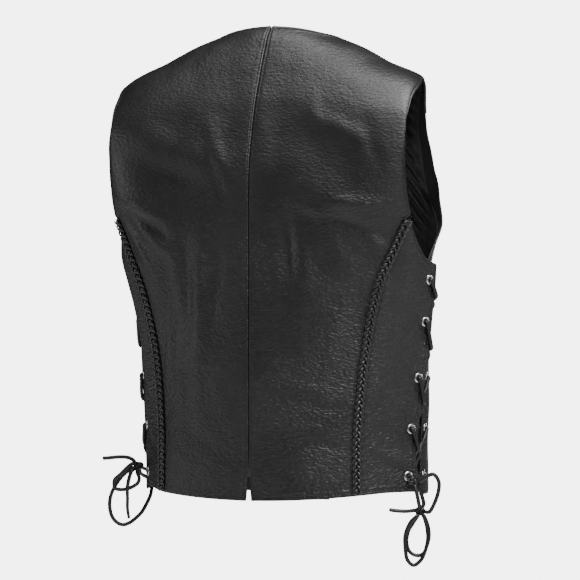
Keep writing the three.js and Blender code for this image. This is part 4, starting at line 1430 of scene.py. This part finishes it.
@dataclass
class LeatherBody:
    """The six leather panels and the two linings, with their sewing."""

    finishes: Finishes
    rows: int = 236
    back_columns: int = 96
    side_columns: int = 30
    front_columns: int = 88
    seam_stitch: dict[int, float] = field(default_factory=lambda: {1: 3.5, -1: 4.0})
    stitch: Stitch = Stitch()
    stitch_lift: float = 0.12
    tape: float = 9.0
    seam_rise: float = 0.4
    seam_dip: float = 1.1
    seam_round: float = 1.2
    lining_wall: float = 0.7
    lining_gap: float = 2.4
    wrinkle_depth: float = 2.6
    wrinkle_pitch: float = 1.9
    wrinkle_lean: tuple[float, float] = (0.62, 0.78)
    stitch_lines: list[tuple[Points, Points]] = field(default_factory=list)

    def creased(self, grid: Grid, is_back: bool, seed: float, fades: dict[Edge, float]) -> Grid:
        """Add the smaller creases, fading towards the edges that carry something.

        Args:
            grid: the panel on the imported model's surface.
            is_back: whether it belongs to the back.
            seed: moves the unevenness.
            fades: how far from each edge the creases reach their height.

        Returns:
            The creased grid.
        """
        x = grid.points[..., 0] * grid.side
        height = fold_height(CREASES, x, grid.points[..., 2], np.full(x.shape, is_back))
        height += unevenness(grid, seed)
        for edge, reach in fades.items():
            height *= smoothstep(grid.distances[edge], 0, reach)
        return grid.displaced(height)

    def back_patch(self, side: int) -> Patch:
        """Back panel between the centre seam, the plaited seam and the armhole."""
        seam_foot = hem_back(float(SEAM_X.at(HEM_BACK + HEM_RISE)))
        inner = height_path(lambda z: np.full(np.shape(z), RIGHT_ANGLE), HEM_BACK, NAPE)
        armhole = surface_path([(float(angle_at_depth(y, z)), z) for y, z in ARMHOLE_BACK])
        outer = joined(height_path(braid_angle, seam_foot, BRAID_SEAM[0].z), backwards(armhole), 0.6)
        corner = float(outer(np.array([0.0]))[0][0])

        def bottom(s: Points) -> tuple[Points, Points]:
            """Hem from the centre to the plaited seam."""
            angle = RIGHT_ANGLE + (corner - RIGHT_ANGLE) * s
            share = section_point(angle, np.full(np.shape(angle), HEM_BACK))[..., 0] / SEAM_X.at(seam_foot)
            return angle, HEM_BACK + (seam_foot - HEM_BACK) * share**HEM_POWER

        across = np.linspace(0, 1, 9)
        neck_x = across * NECK_FRONT[0][0]
        neck_z = NAPE - (NAPE - NECK_FRONT[0][1]) * across**2
        neck = surface_path(list(zip(angle_at_width(neck_x, neck_z, True), neck_z)))
        shoulder = height_path(lambda z: 0 * z, NECK_FRONT[0][1], ARMHOLE_BACK[0][1])
        return Patch(bottom, joined(neck, shoulder, 0.4), inner, outer, body_surface(side))

    def back(self, side: int) -> Grid:
        """Grid of a back panel, with its half of the vent."""
        across = shares(self.back_columns, 200)
        up = shares(self.rows, 640)
        points = self.back_patch(side).points(across, up)
        opened = np.clip((VENT_TOP - points[:, :1, 2]) / (VENT_TOP - HEM_BACK), 0, 1)
        points[..., 0] += VENT_HALF * opened * np.clip(1 - across[None, :] / VENT_REACH, 0, 1)
        fades = {Edge.INNER: 9, Edge.OUTER: 16, Edge.TOP: 22, Edge.HEM: 8}
        grid = self.creased(self.apart(Grid(points, side, self.seam_stitch[side])), True, 3.1, fades)
        away = grid.distances[Edge.INNER]
        rise = self.seam_rise * smoothstep(-away, -8.5, -6.5)
        return grid.displaced(rise - self.seam_dip * np.exp(-((away / self.seam_round) ** 2)))

    @staticmethod
    def apart(grid: Grid) -> Grid:
        """Draw the seam edges back by half the seam gap."""
        points = grid.points.copy()
        for column, beside in ((0, 1), (-1, -2)):
            points[:, column] += unit(points[:, beside] - points[:, column]) * SEAM_GAP / 2
        points[-1] += unit(points[-2] - points[-1]) * SEAM_GAP / 2
        return Grid(points, grid.side, grid.seam)

    def side_back(self, side: int) -> Grid:
        """Grid of a side panel between the plaited seam and the lacing."""
        inner = height_path(braid_angle, hem_back(145), BRAID_SEAM[0].z)
        outer = height_path(panel_edge_angle, hem_back(HEM_SIDE_REACH), ARMHOLE_BOTTOM[-1][1])
        start, stop = (path(np.array([0.0])) for path in (inner, outer))

        def bottom(s: Points) -> tuple[Points, Points]:
            """Hem from the plaited seam to the lacing edge."""
            return start[0] + (stop[0] - start[0]) * s, start[1] + (stop[1] - start[1]) * s

        top = surface_path([(float(angle_at_depth(y, z)), z) for y, z in ARMHOLE_BOTTOM])
        patch = Patch(bottom, top, inner, outer, side_panel_surface(side))
        grid = Grid(patch.points(shares(self.side_columns, 75), shares(150, 340)), side)
        fades = {Edge.INNER: 14, Edge.OUTER: 22, Edge.TOP: 10, Edge.HEM: 8}
        return self.creased(self.apart(grid), True, 8.7, fades)

    def front_patch(self, side: int) -> Patch:
        """Front from the centre edge and V neck to the lacing edge and the armhole."""
        v_z = NECK_FRONT[-1][1]
        hem_side = hem_front(HEM_SIDE_REACH)

        def past_centre(z: Points) -> Points:
            """Angle of the edge beyond the centre front."""
            return -2 * RIGHT_ANGLE - angle_at_width(OVERLAP, z, False)

        neck_edge = [(float(angle_at_width(x, z, False)), z) for x, z in NECK_FRONT[-2::-1]]
        neck = surface_path([(float(past_centre(np.array(v_z))), v_z), *neck_edge])
        inner = joined(height_path(past_centre, hem_front(0), v_z), neck, 0.55)
        armhole = surface_path([(float(angle_at_depth(y, z)), z) for y, z in ARMHOLE_FRONT])
        edge = height_path(front_edge_angle, hem_side, ARMHOLE_FRONT[-1][1])
        outer = joined(edge, backwards(armhole), 0.55)
        start, stop = (float(line(np.array([0.0]))[0][0]) for line in (inner, outer))
        reach = float(section_point(stop, hem_side)[0])

        def bottom(s: Points) -> tuple[Points, Points]:
            """Hem from the centre edge to the lacing edge."""
            angle = start + (stop - start) * s
            x = np.maximum(section_point(angle, np.full(np.shape(angle), HEM_BACK))[..., 0], 0)
            return angle, hem_side - HEM_FRONT_DIP * (1 - np.minimum(x / reach, 1)) ** 1.5

        top = height_path(lambda z: 0 * z - 1e-4, NECK_FRONT[0][1], ARMHOLE_FRONT[0][1])
        return Patch(bottom, top, inner, outer, front_surface(side))

    def front(self, side: int) -> Grid:
        """Grid of a front."""
        points = self.front_patch(side).points(shares(self.front_columns, 230), shares(self.rows, 640))
        fades = {Edge.OUTER: 22, Edge.TOP: 22, Edge.INNER: 26, Edge.HEM: 8}
        return self.creased(self.apart(Grid(points, side)), False, 14.2, fades)

    def lining(self, side: int) -> Grid:
        """Grid of a front's lining, wrinkled on the slant and clear of the leather."""
        across, up = np.linspace(0.14, 0.9, 90), np.linspace(0.03, 0.975, 170)
        grid = Grid(self.front_patch(side).points(across, up), side)
        x, z = grid.points[..., 0], grid.points[..., 2]
        lean_x, lean_z = self.wrinkle_lean
        slant = (x * lean_x + z * lean_z) / 15 + 0.8 * np.sin(z / 47) + 0.5 * np.sin(x / 31 + 1.4)
        strength = 0.55 + 0.45 * np.sin(x / 53 - z / 71 + 2.0)
        wrinkle = np.sin(slant * 2 * math.pi / self.wrinkle_pitch) ** 2 * strength
        high = smoothstep(z, -330, -120)
        inward = self.lining_gap + self.wrinkle_depth * wrinkle * (0.35 + 0.65 * high)
        return grid.displaced(-inward * smoothstep(grid.edge_distance(), 0, 14) - SEAM_GAP)

    def cut_holes(self, piece: bpy.types.Object, frames: Sequence[EyeletFrame]) -> None:
        """Cut the eyelet holes through a panel.

        Args:
            piece: the panel.
            frames: the eyelets' frames.
        """
        rings = None
        size = 2 * (EYELET_BARREL - 0.4)
        for place in frames:
            path = np.array([place.point + place.normal * step for step in (-9.0, -3.0, 3.0, 9.0)])
            hint = np.tile(unit(np.cross(place.normal, UP)), (4, 1))
            tube = Thong(size, size, 24, 2.0).sweep(path, hint, taper=False)
            rings = tube if rings is None else rings.joined(tube)
        cutter = make_object(f"{piece.name}_drill", rings, [])
        cut = piece.modifiers.new("holes", "BOOLEAN")
        cut.operation = "DIFFERENCE"
        cut.solver = "MANIFOLD"
        cut.object = cutter
        plain_mesh(piece)
        bpy.data.objects.remove(cutter)

    def seam_tape(self) -> None:
        """Lay the turned seam allowances behind the centre seam, from the neck to the vent."""
        z = np.linspace(VENT_TOP + 3, NAPE - 1.2, 150)[:, None]
        x = np.linspace(-self.tape / 2, self.tape / 2, 7)[None, :]
        x, z = spread(x, z)
        angle = RIGHT_ANGLE - np.sign(x) * (RIGHT_ANGLE - angle_at_width(np.abs(x), z, True))
        grid = Grid(body_surface(1)(angle, z), 1)
        piece = make_object("centre_seam_tape", shell(grid, 0.8, LEATHER + 0.2), [self.finishes.suede] * 2)
        dress(piece, "leather")

    def stitches(self, name: str, lines: Sequence[tuple[Points, Points]]) -> bpy.types.Object:
        """Sew rows of stitches along lines.

        Args:
            name: the piece's name.
            lines: points and normals of each line.

        Returns:
            The stitches as one mesh.
        """
        points = np.concatenate([p + n * self.stitch_lift for p, n in lines])
        facing = np.concatenate([n for _, n in lines])
        edges: list[tuple[int, int]] = []
        first = 0
        for line, _ in lines:
            edges += [(first + i, first + i + 1) for i in range(len(line) - 1)]
            first += len(line)
        rows = make_object(name, MeshData(points, [], values={"facing": facing}, edges=edges), [])
        sizes = {key: size * MM for key, size in self.stitch._asdict().items()}
        return stitch_tree().apply(rows, {**sizes, "Material": self.finishes.thread})

    def build(self, eyelets: dict[str, list[EyeletFrame]]) -> None:
        """Make all panels, linings and stitches.

        Args:
            eyelets: frames of the eyelets by panel name.
        """
        skins = (self.finishes.leather, self.finishes.suede)
        for side, hand in SIDES:
            panels = {"back": self.back(side), "side_back": self.side_back(side), "front": self.front(side)}
            self.stitch_lines.append(panels["back"].line(Edge.INNER, self.seam_stitch[side], 0.006))
            for row in SEWN:
                self.stitch_lines.append(panels[row.panel].line(row.edge, row.distance, row.start, row.stop))
            for name, grid in panels.items():
                node = f"{name}_{hand}"
                piece = make_object(f"leather_{node}", shell(grid, LEATHER - 0.1), skins)
                if node in eyelets:
                    self.cut_holes(piece, eyelets[node])
                dress(piece, "leather", node)
                self.declare(piece, grid)
            lining = self.lining(side)
            wall = shell(lining, self.lining_wall, LEATHER)
            piece = make_object(f"satin_lining_{hand}", wall, [self.finishes.lining] * 2)
            dress(piece, "lining", f"lining_{hand}")
            self.declare(piece, lining)
        self.seam_tape()
        dress(self.stitches("top_stitching", self.stitch_lines), "leather")

    @staticmethod
    def declare(piece: bpy.types.Object, grid: Grid) -> None:
        """Work out the areas of the panel's grid cells; nothing uses them."""
        a = np.cross(np.diff(grid.points, axis=1)[:-1], np.diff(grid.points, axis=0)[:, :-1])


@dataclass
class Plaits:
    """Three-strand plaits over the two back seams."""

    finishes: Finishes
    swing: float = 4.8
    weave: float = 1.5
    middle: float = 2.8
    strand: Thong = Thong(5.0, 2.2, 8, 2.3)

    def build(self, side: int, hand: str) -> None:
        """Make one plait.

        Args:
            side: 1 for the wearer's left, -1 for the right.
            hand: the side's word in names.
        """
        body = body_surface(side)
        z = np.linspace(hem_back(145) + 2, BRAID_SEAM[0].z - 4, 700)
        angle = braid_angle(z)
        seam = body(angle, z)
        normal = normal_of(body, angle, z)
        run = lengths_along(seam)
        turns = round(run[-1] / (3 * BRAID_PERIOD))
        phase = run / run[-1] * turns * 2 * math.pi
        across = unit(np.cross(np.gradient(seam, axis=0), normal))
        made = None
        for k in range(3):
            theta = phase + k * 2 * math.pi / 3
            path = (
                seam + across * (self.swing * np.cos(theta))[:, None]
                + normal * (self.middle + self.weave * np.sin(2 * theta))[:, None]
            )
            lean = normal + across * (0.42 * np.cos(theta))[:, None]
            data = self.strand.sweep(path[::2] * [side, 1, 1], lean[::2] * [side, 1, 1])
            made = data if made is None else made.joined(data)
        dress(make_object(f"plait_{hand}", made, [self.finishes.plait]), "braid", f"braid_{hand}")


@dataclass
class SideLacing:
    """Eyelets, laces, knots and bows of both sides."""

    finishes: Finishes
    thong: Thong = Thong()
    knot_thong: Thong = Thong(5.0, 3.6, 10, 2.3)
    knot_reach: float = 2.9
    knot_depth: float = 1.7

    def frames(self, side: int) -> Frames:
        """Frame of each eyelet, from the top down.

        Args:
            side: 1 for the wearer's left, -1 for the right.

        Returns:
            The side panel's and the front's frames, on the real side of the body.
        """
        found = {}
        for name, surface, edge_of, way in (
            ("side_back", side_panel_surface(side), panel_edge_angle, 1),
            ("front", front_surface(side), front_edge_angle, -1),
        ):
            rows = []
            for z in map(float, EYELET_HEIGHTS):
                edge = float(edge_of(np.array(z)))
                near = np.linalg.norm(surface(edge, z) - surface(edge + way * 0.02, z))
                angle = edge + way * 0.02 * EYELET_EDGE / near
                rows.append(EyeletFrame(*place_on(surface, angle, z, side), surface, edge_of, side))
            found[name] = rows
        return found

    def strand(self, starts: Sequence[EyeletFrame], ends: Sequence[EyeletFrame], crossing: float) -> Route:
        """Points of one strand: out of an eyelet, over the gap and up through the next eyelet.

        Args:
            starts: eyelets where the even stretches start.
            ends: eyelets where they end.
            crossing: height at the middle of the gap.

        Returns:
            Points with the way the flat side faces.
        """
        made = []
        for i in range(len(starts) - 1):
            a = ends[i] if i % 2 else starts[i]
            b = starts[i + 1] if i % 2 else ends[i + 1]
            share = EYELET_EDGE / math.hypot(*(a.point - b.point)[:2])
            over = a.rim(a.point[2] + (b.point[2] - a.point[2]) * share)
            under = b.rim(b.point[2] + (a.point[2] - b.point[2]) * share)
            made += [
                between(a, a, 0, -LEATHER / 2), between(a, a, 0, LACE_OUT), between(a, over, 0.4, LACE_OVER),
                between(over, over, 0, LACE_CLEAR), between(a, over, 1.25, LACE_PAST),
                between(over, under, 0.5, crossing), between(b, under, 1.22, -LEATHER - LACE_CLEAR),
                between(b, under, 0.07, LACE_UNDER),
            ]
        return made

    def lace_route(self, frames: Frames, knot: Points) -> Route:
        """Whole route of a lace: up one strand, across inside the top pair, and down the other."""
        panel, front = frames["side_back"], frames["front"]
        first = self.strand(panel, front, LACE_CROSS_HIGH)
        second = self.strand(front, panel, LACE_CROSS_LOW)
        rims = [row[0].rim(row[0].point[2]) for row in (panel, front)]
        bar = [
            between(panel[0], rims[0], 0.15, LACE_UNDER), between(rims[0], rims[1], 0.5, LACE_BAR),
            between(front[0], rims[1], 0.2, LACE_UNDER),
        ]
        ends = [
            [between(last, last, 0, -LEATHER / 2), between(last, last, 0, LACE_OUT)]
            for last in (panel[-1], front[-1])
        ]
        leaving, facing = ends[1][1]
        seat = seat_on_knot(knot, leaving)
        over = leaving + unit(knot - leaving) * np.linalg.norm(seat - leaving) / 2 + facing * LACE_SLACK
        return [*ends[0][::-1], *first[::-1], *bar, *second, *ends[1], (over, facing), (seat, facing)]

    def cord(
        self, name: str, route: Sequence[Points], faces: Sequence[Points],
        nodes: Sequence[str],
    ) -> bpy.types.Object:
        """Make and declare one cord.

        Args:
            name: the piece's name.
            route: its points.
            faces: the way its flat side faces at each point.
            nodes: the CAD nodes that it replaces.

        Returns:
            The cord.
        """
        path = smooth_line(np.array(route), 1.1)
        run, keys = lengths_along(path), lengths_along(np.array(route))
        places = keys / keys[-1] * run[-1]
        hints = np.stack([np.interp(run, places, np.array(faces)[:, k]) for k in range(3)], axis=1)
        piece = make_object(name, self.thong.sweep(path, hints), [self.finishes.lace])
        dress(piece, "lace", *nodes)
        "hanging" if "lace" not in name else "taut"
        return piece

    def bow(self, name: str, nodes: Sequence[str], pieces: Sequence[bpy.types.Object], twist: float) -> None:
        """Make one cord of a bow from one or two stretches.

        Args:
            name: the piece's name.
            nodes: the CAD nodes that it replaces, which name its stretches.
            pieces: knots on it; not used.
            twist: how far its flat side turns on the way, in radians.
        """
        route: list[Points] = []
        for knot, lay, stretch in map(TIES.get, nodes):
            points = [knot + ACROSS * a + UP * u + OUT * o for a, u, o in stretch]
            route += [seat_on_knot(knot, points[0]), *points]
            if lay is not Lay.FREE:
                route.append(seat_on_knot(knot if lay is Lay.LOOP else KNOT_LOW, points[-1]))
        turns = np.linspace(0.2, 0.2 + twist, len(route))
        faces = [OUT * math.cos(a) + unit(ACROSS + 0.4 * UP) * math.sin(a) for a in turns]
        self.cord(name, route, faces, nodes)

    def knot(self, name: str, centre: Points, node: str, turn: float) -> bpy.types.Object:
        """Tight knot: the thong wound three times through itself.

        Args:
            name: the piece's name.
            centre: its middle.
            node: the CAD node that it replaces.
            turn: how far it is turned about the line of sight, in radians.

        Returns:
            The knot.
        """
        t = np.linspace(0, 2 * math.pi, 120, endpoint=False)
        reach = self.knot_reach + self.knot_depth * np.cos(3 * t)
        a = KNOT_LONG * reach * np.cos(2 * t + turn)
        u = KNOT_FLAT * 1.1 * reach * np.sin(2 * t + turn)
        o = 1.35 * self.knot_depth * np.sin(3 * t)
        path = centre + ACROSS * a[:, None] + UP * u[:, None] + OUT * o[:, None]
        hint = unit(path - centre + OUT * 1.5)
        data = self.knot_thong.sweep(path, hint, closed=True)
        return dress(make_object(name, data, [self.finishes.lace]), "lace", node)

    def build_fittings(self, frames: dict[int, Frames]) -> None:
        """Set the eyelets of both sides."""
        foot = -LEATHER - 1.5
        out = EYELET_OUTER
        profile = [
            (EYELET_HOLE, foot), (out - 0.9, foot), (out - 0.6, foot + 0.35), (out - 0.9, foot + 0.75),
            (EYELET_BARREL - 0.5, foot + 0.8), (EYELET_BARREL - 0.5, -0.2), (out - 0.25, -0.15), (out, 0.2),
            (out - 0.15, 0.65), (out - 0.7, 1.2), (5.5, 1.55), (4.6, 1.5), (3.95, 1.05), (3.65, 0.4),
            (EYELET_HOLE - 0.05, -0.4),
        ]
        ring = lathe("eyelet_ring", profile, 32, True)
        for side, hand in SIDES:
            for edge, panel in (("back", "side_back"), ("front", "front")):
                places = [(frame.point, frame.normal) for frame in frames[side][panel]]
                piece = set_fittings(f"eyelets_{edge}_{hand}", ring, places, self.finishes.nickel)
                dress(piece, "metal", *(f"eyelet_{edge}_{hand}_{k + 1}" for k in range(len(places))))
        bpy.data.objects.remove(ring)

    def build(self, frames: dict[int, Frames]) -> None:
        """Make the knots, laces and bows.

        Args:
            frames: the eyelets' frames by side and panel.
        """
        left = self.knot("knot_of_left_bow", KNOT_LEFT, "knot_left", 0.3)
        right = self.knot("knot_of_right_bow", KNOT_RIGHT, "knot_right", 1.1)
        low = self.knot("knot_of_right_tails", KNOT_LOW, "knot_low_right", 2.0)
        for (side, hand), knot, piece in zip(SIDES, (KNOT_LEFT, KNOT_RIGHT), (left, right)):
            points, faces = zip(*self.lace_route(frames[side], knot))
            self.cord(f"side_lace_{hand}", points, faces, [f"lace_{hand}"])
        for name, nodes, tied, twist in (
            ("left_small_loop", ["bow_small_left"], [left], 1.0),
            ("left_large_loop", ["bow_large_left"], [left], 1.3),
            ("left_side_end", ["end_side_left"], [left], -0.7),
            ("left_down_end", ["end_down_left"], [left], 1.4),
            ("right_first_tail", ["tie_a_right", "end_side_right"], [right, low], 0.9),
            ("right_second_tail", ["tie_b_right", "bow_back_right"], [right, low], 1.2),
            ("right_side_loop", ["bow_side_right"], [right, low], 0.6),
            ("right_front_loop", ["bow_front_right"], [low], -0.8),
        ):
            self.bow(name, nodes, tied, twist)


def seat_on_knot(knot: Points, point: Points) -> Points:
    """Place just off a knot's surface, on the line from its middle to a point."""
    way = unit(point - knot)
    size = math.hypot(float(way @ ACROSS) / KNOT_LONG, float(way @ OUT), float(way[2]) / KNOT_FLAT)
    return knot + way * (KNOT_RADIUS / size + SEAM_GAP)


@dataclass
class SnapFront:
    """Four snap caps down the left front, with their foot a little off the leather's outside."""

    finishes: Finishes
    seat: float = 0.5

    def build(self) -> None:
        """Set the caps."""
        radius = SNAP_RADIUS
        profile = [
            (0.01, -0.5), (radius - 0.6, -0.5), (radius - 0.1, -0.1), (radius, 0.6), (radius - 0.25, 1.15),
            (radius - 0.9, 1.35), (radius - 1.3, 1.2), (radius - 1.6, 1.5), (radius - 2.6, 2.35),
            (radius - 4.2, 3.1), (radius - 6.0, 3.4), (0.01, 3.45),
        ]
        cap = lathe("snap_cap", profile, 40, False)
        placed = [place_on(front_surface(1), -RIGHT_ANGLE, float(z), 1) for z in SNAP_HEIGHTS]
        places = [(point + normal * self.seat, normal) for point, normal in placed]
        piece = set_fittings("snap_caps", cap, places, self.finishes.nickel)
        dress(piece, "metal", *(f"snap_{k + 1}" for k in range(len(SNAP_HEIGHTS))))
        bpy.data.objects.remove(cap)


class Lamp(NamedTuple):
    """Soft square light: metres right, up and near of the image's middle, its side and its watts."""

    name: str
    place: Triple
    size: float
    power: float


LAMPS = (
    Lamp("key", (0.7, 1.7, 0.8), 0.6, 58),
    Lamp("top", (-0.35, 1.8, 0.5), 0.8, 26),
    Lamp("front", (0.8, 1.1, 2.1), 0.4, 16),
    Lamp("low", (1.5, 0.35, 1.5), 0.4, 1.5),
    Lamp("right", (2.6, 0.5, 0.0), 0.6, 11),
    Lamp("left", (-2.6, 0.2, 0.0), 0.4, 12),
    Lamp("behind", (0.6, 0.35, -2.5), 0.8, 40),
)


@dataclass(frozen=True)
class Studio:
    """Camera at the photograph's angle, plain pale floor and soft light."""

    azimuth: float = 203.0
    elevation: float = 0.84
    distance: float = 6.9
    pixel: float = 1.37 * MM
    image: int = 580
    origin_u: float = 278.3
    origin_v: float = 60.0
    sensor: float = 36.0
    floor_z: float = -1.25
    floor_reach: float = 4.0
    floor_glow: float = 0.25
    seen_strength: float = 5.5
    lighting_strength: float = 0.025

    def axes(self) -> tuple[Vector, Vector, Vector]:
        """Directions to the image's right, up, and towards the camera."""
        turn, lift = math.radians(self.azimuth), math.radians(self.elevation)
        right = Vector((math.cos(turn), math.sin(turn), 0))
        near = Vector((math.sin(turn) * math.cos(lift), -math.cos(turn) * math.cos(lift), math.sin(lift)))
        return right, near.cross(right), near

    def target(self) -> Vector:
        """Point that lies in the middle of the image."""
        right, _, _ = self.axes()
        middle = self.image / 2
        up = Vector((0, 0, (self.origin_v - middle) * self.pixel))
        return right * (middle - self.origin_u) * self.pixel + up

    def camera(self) -> None:
        """Make the camera."""
        _, _, near = self.axes()
        data = bpy.data.cameras.new("camera")
        data.sensor_width = self.sensor
        data.lens = self.sensor * self.distance / (self.image * self.pixel)
        data.clip_end = 100
        made = add_object("camera", data)
        made.location = self.target() + near * self.distance
        made.rotation_euler = near.to_track_quat("Z", "Y").to_euler()
        bpy.context.scene.camera = made

    def light(self, lamp: Lamp) -> None:
        """Make a light that faces the vest."""
        right, up, near = self.axes()
        data = bpy.data.lights.new(lamp.name, "AREA")
        data.shape = "SQUARE"
        data.size = lamp.size
        data.energy = lamp.power
        way = right * lamp.place[0] + up * lamp.place[1] + near * lamp.place[2]
        made = add_object(lamp.name, data)
        made.location = self.target() + way
        made.rotation_euler = way.to_track_quat("Z", "Y").to_euler()

    def surroundings(self) -> None:
        """Make the backdrop: white where the camera sees it, dim where it lights the vest."""
        world = bpy.data.worlds.new("white_room")
        world.use_nodes = True
        tree = world.node_tree
        tree.nodes.clear()
        dim, seen = (
            add_node(tree, "ShaderNodeBackground", {}, {"Color": (1, 1, 1, 1), "Strength": strength})[0]
            for strength in (self.lighting_strength, self.seen_strength)
        )
        ray = add_node(tree, "ShaderNodeLightPath", {}, {})["Is Camera Ray"]
        mix = add_node(tree, "ShaderNodeMixShader", {}, {0: ray, 1: dim, 2: seen})[0]
        add_node(tree, "ShaderNodeOutputWorld", {}, {"Surface": mix})
        bpy.context.scene.world = world

    def build(self) -> None:
        """Make the lights, the surroundings and the floor."""
        for lamp in LAMPS:
            self.light(lamp)
        self.surroundings()
        material = Graph("pale_floor").surface(
            Base_Color=(0.92, 0.92, 0.92, 1), Roughness=0.9,
            Emission_Color=(1, 1, 1, 1), Emission_Strength=self.floor_glow,
        )
        reach, low = self.floor_reach / MM, self.floor_z / MM
        corners = np.array([(x * reach, y * reach, low) for x, y in ((-1, -1), (1, -1), (1, 1), (-1, 1))])
        make_object("floor", MeshData(corners, [(0, 1, 2, 3)]), [material])


def main() -> None:
    """Build the vest and its studio."""
    logging.basicConfig(level=logging.INFO, format="%(name)s: %(message)s")
    studio = Studio()
    studio.camera()
    finishes = Finishes.make()
    lacing = SideLacing(finishes)
    frames = {side: lacing.frames(side) for side in (1, -1)}
    lacing.build(frames)
    lacing.build_fittings(frames)
    plaits = Plaits(finishes)
    for side, hand in SIDES:
        plaits.build(side, hand)
    eyelets = {
        f"{panel}_{hand}": frames[side][panel] for side, hand in SIDES for panel in ("side_back", "front")
    }
    LeatherBody(finishes).build(eyelets)
    SnapFront(finishes).build()
    studio.build()


if __name__ == "__main__":
    main()
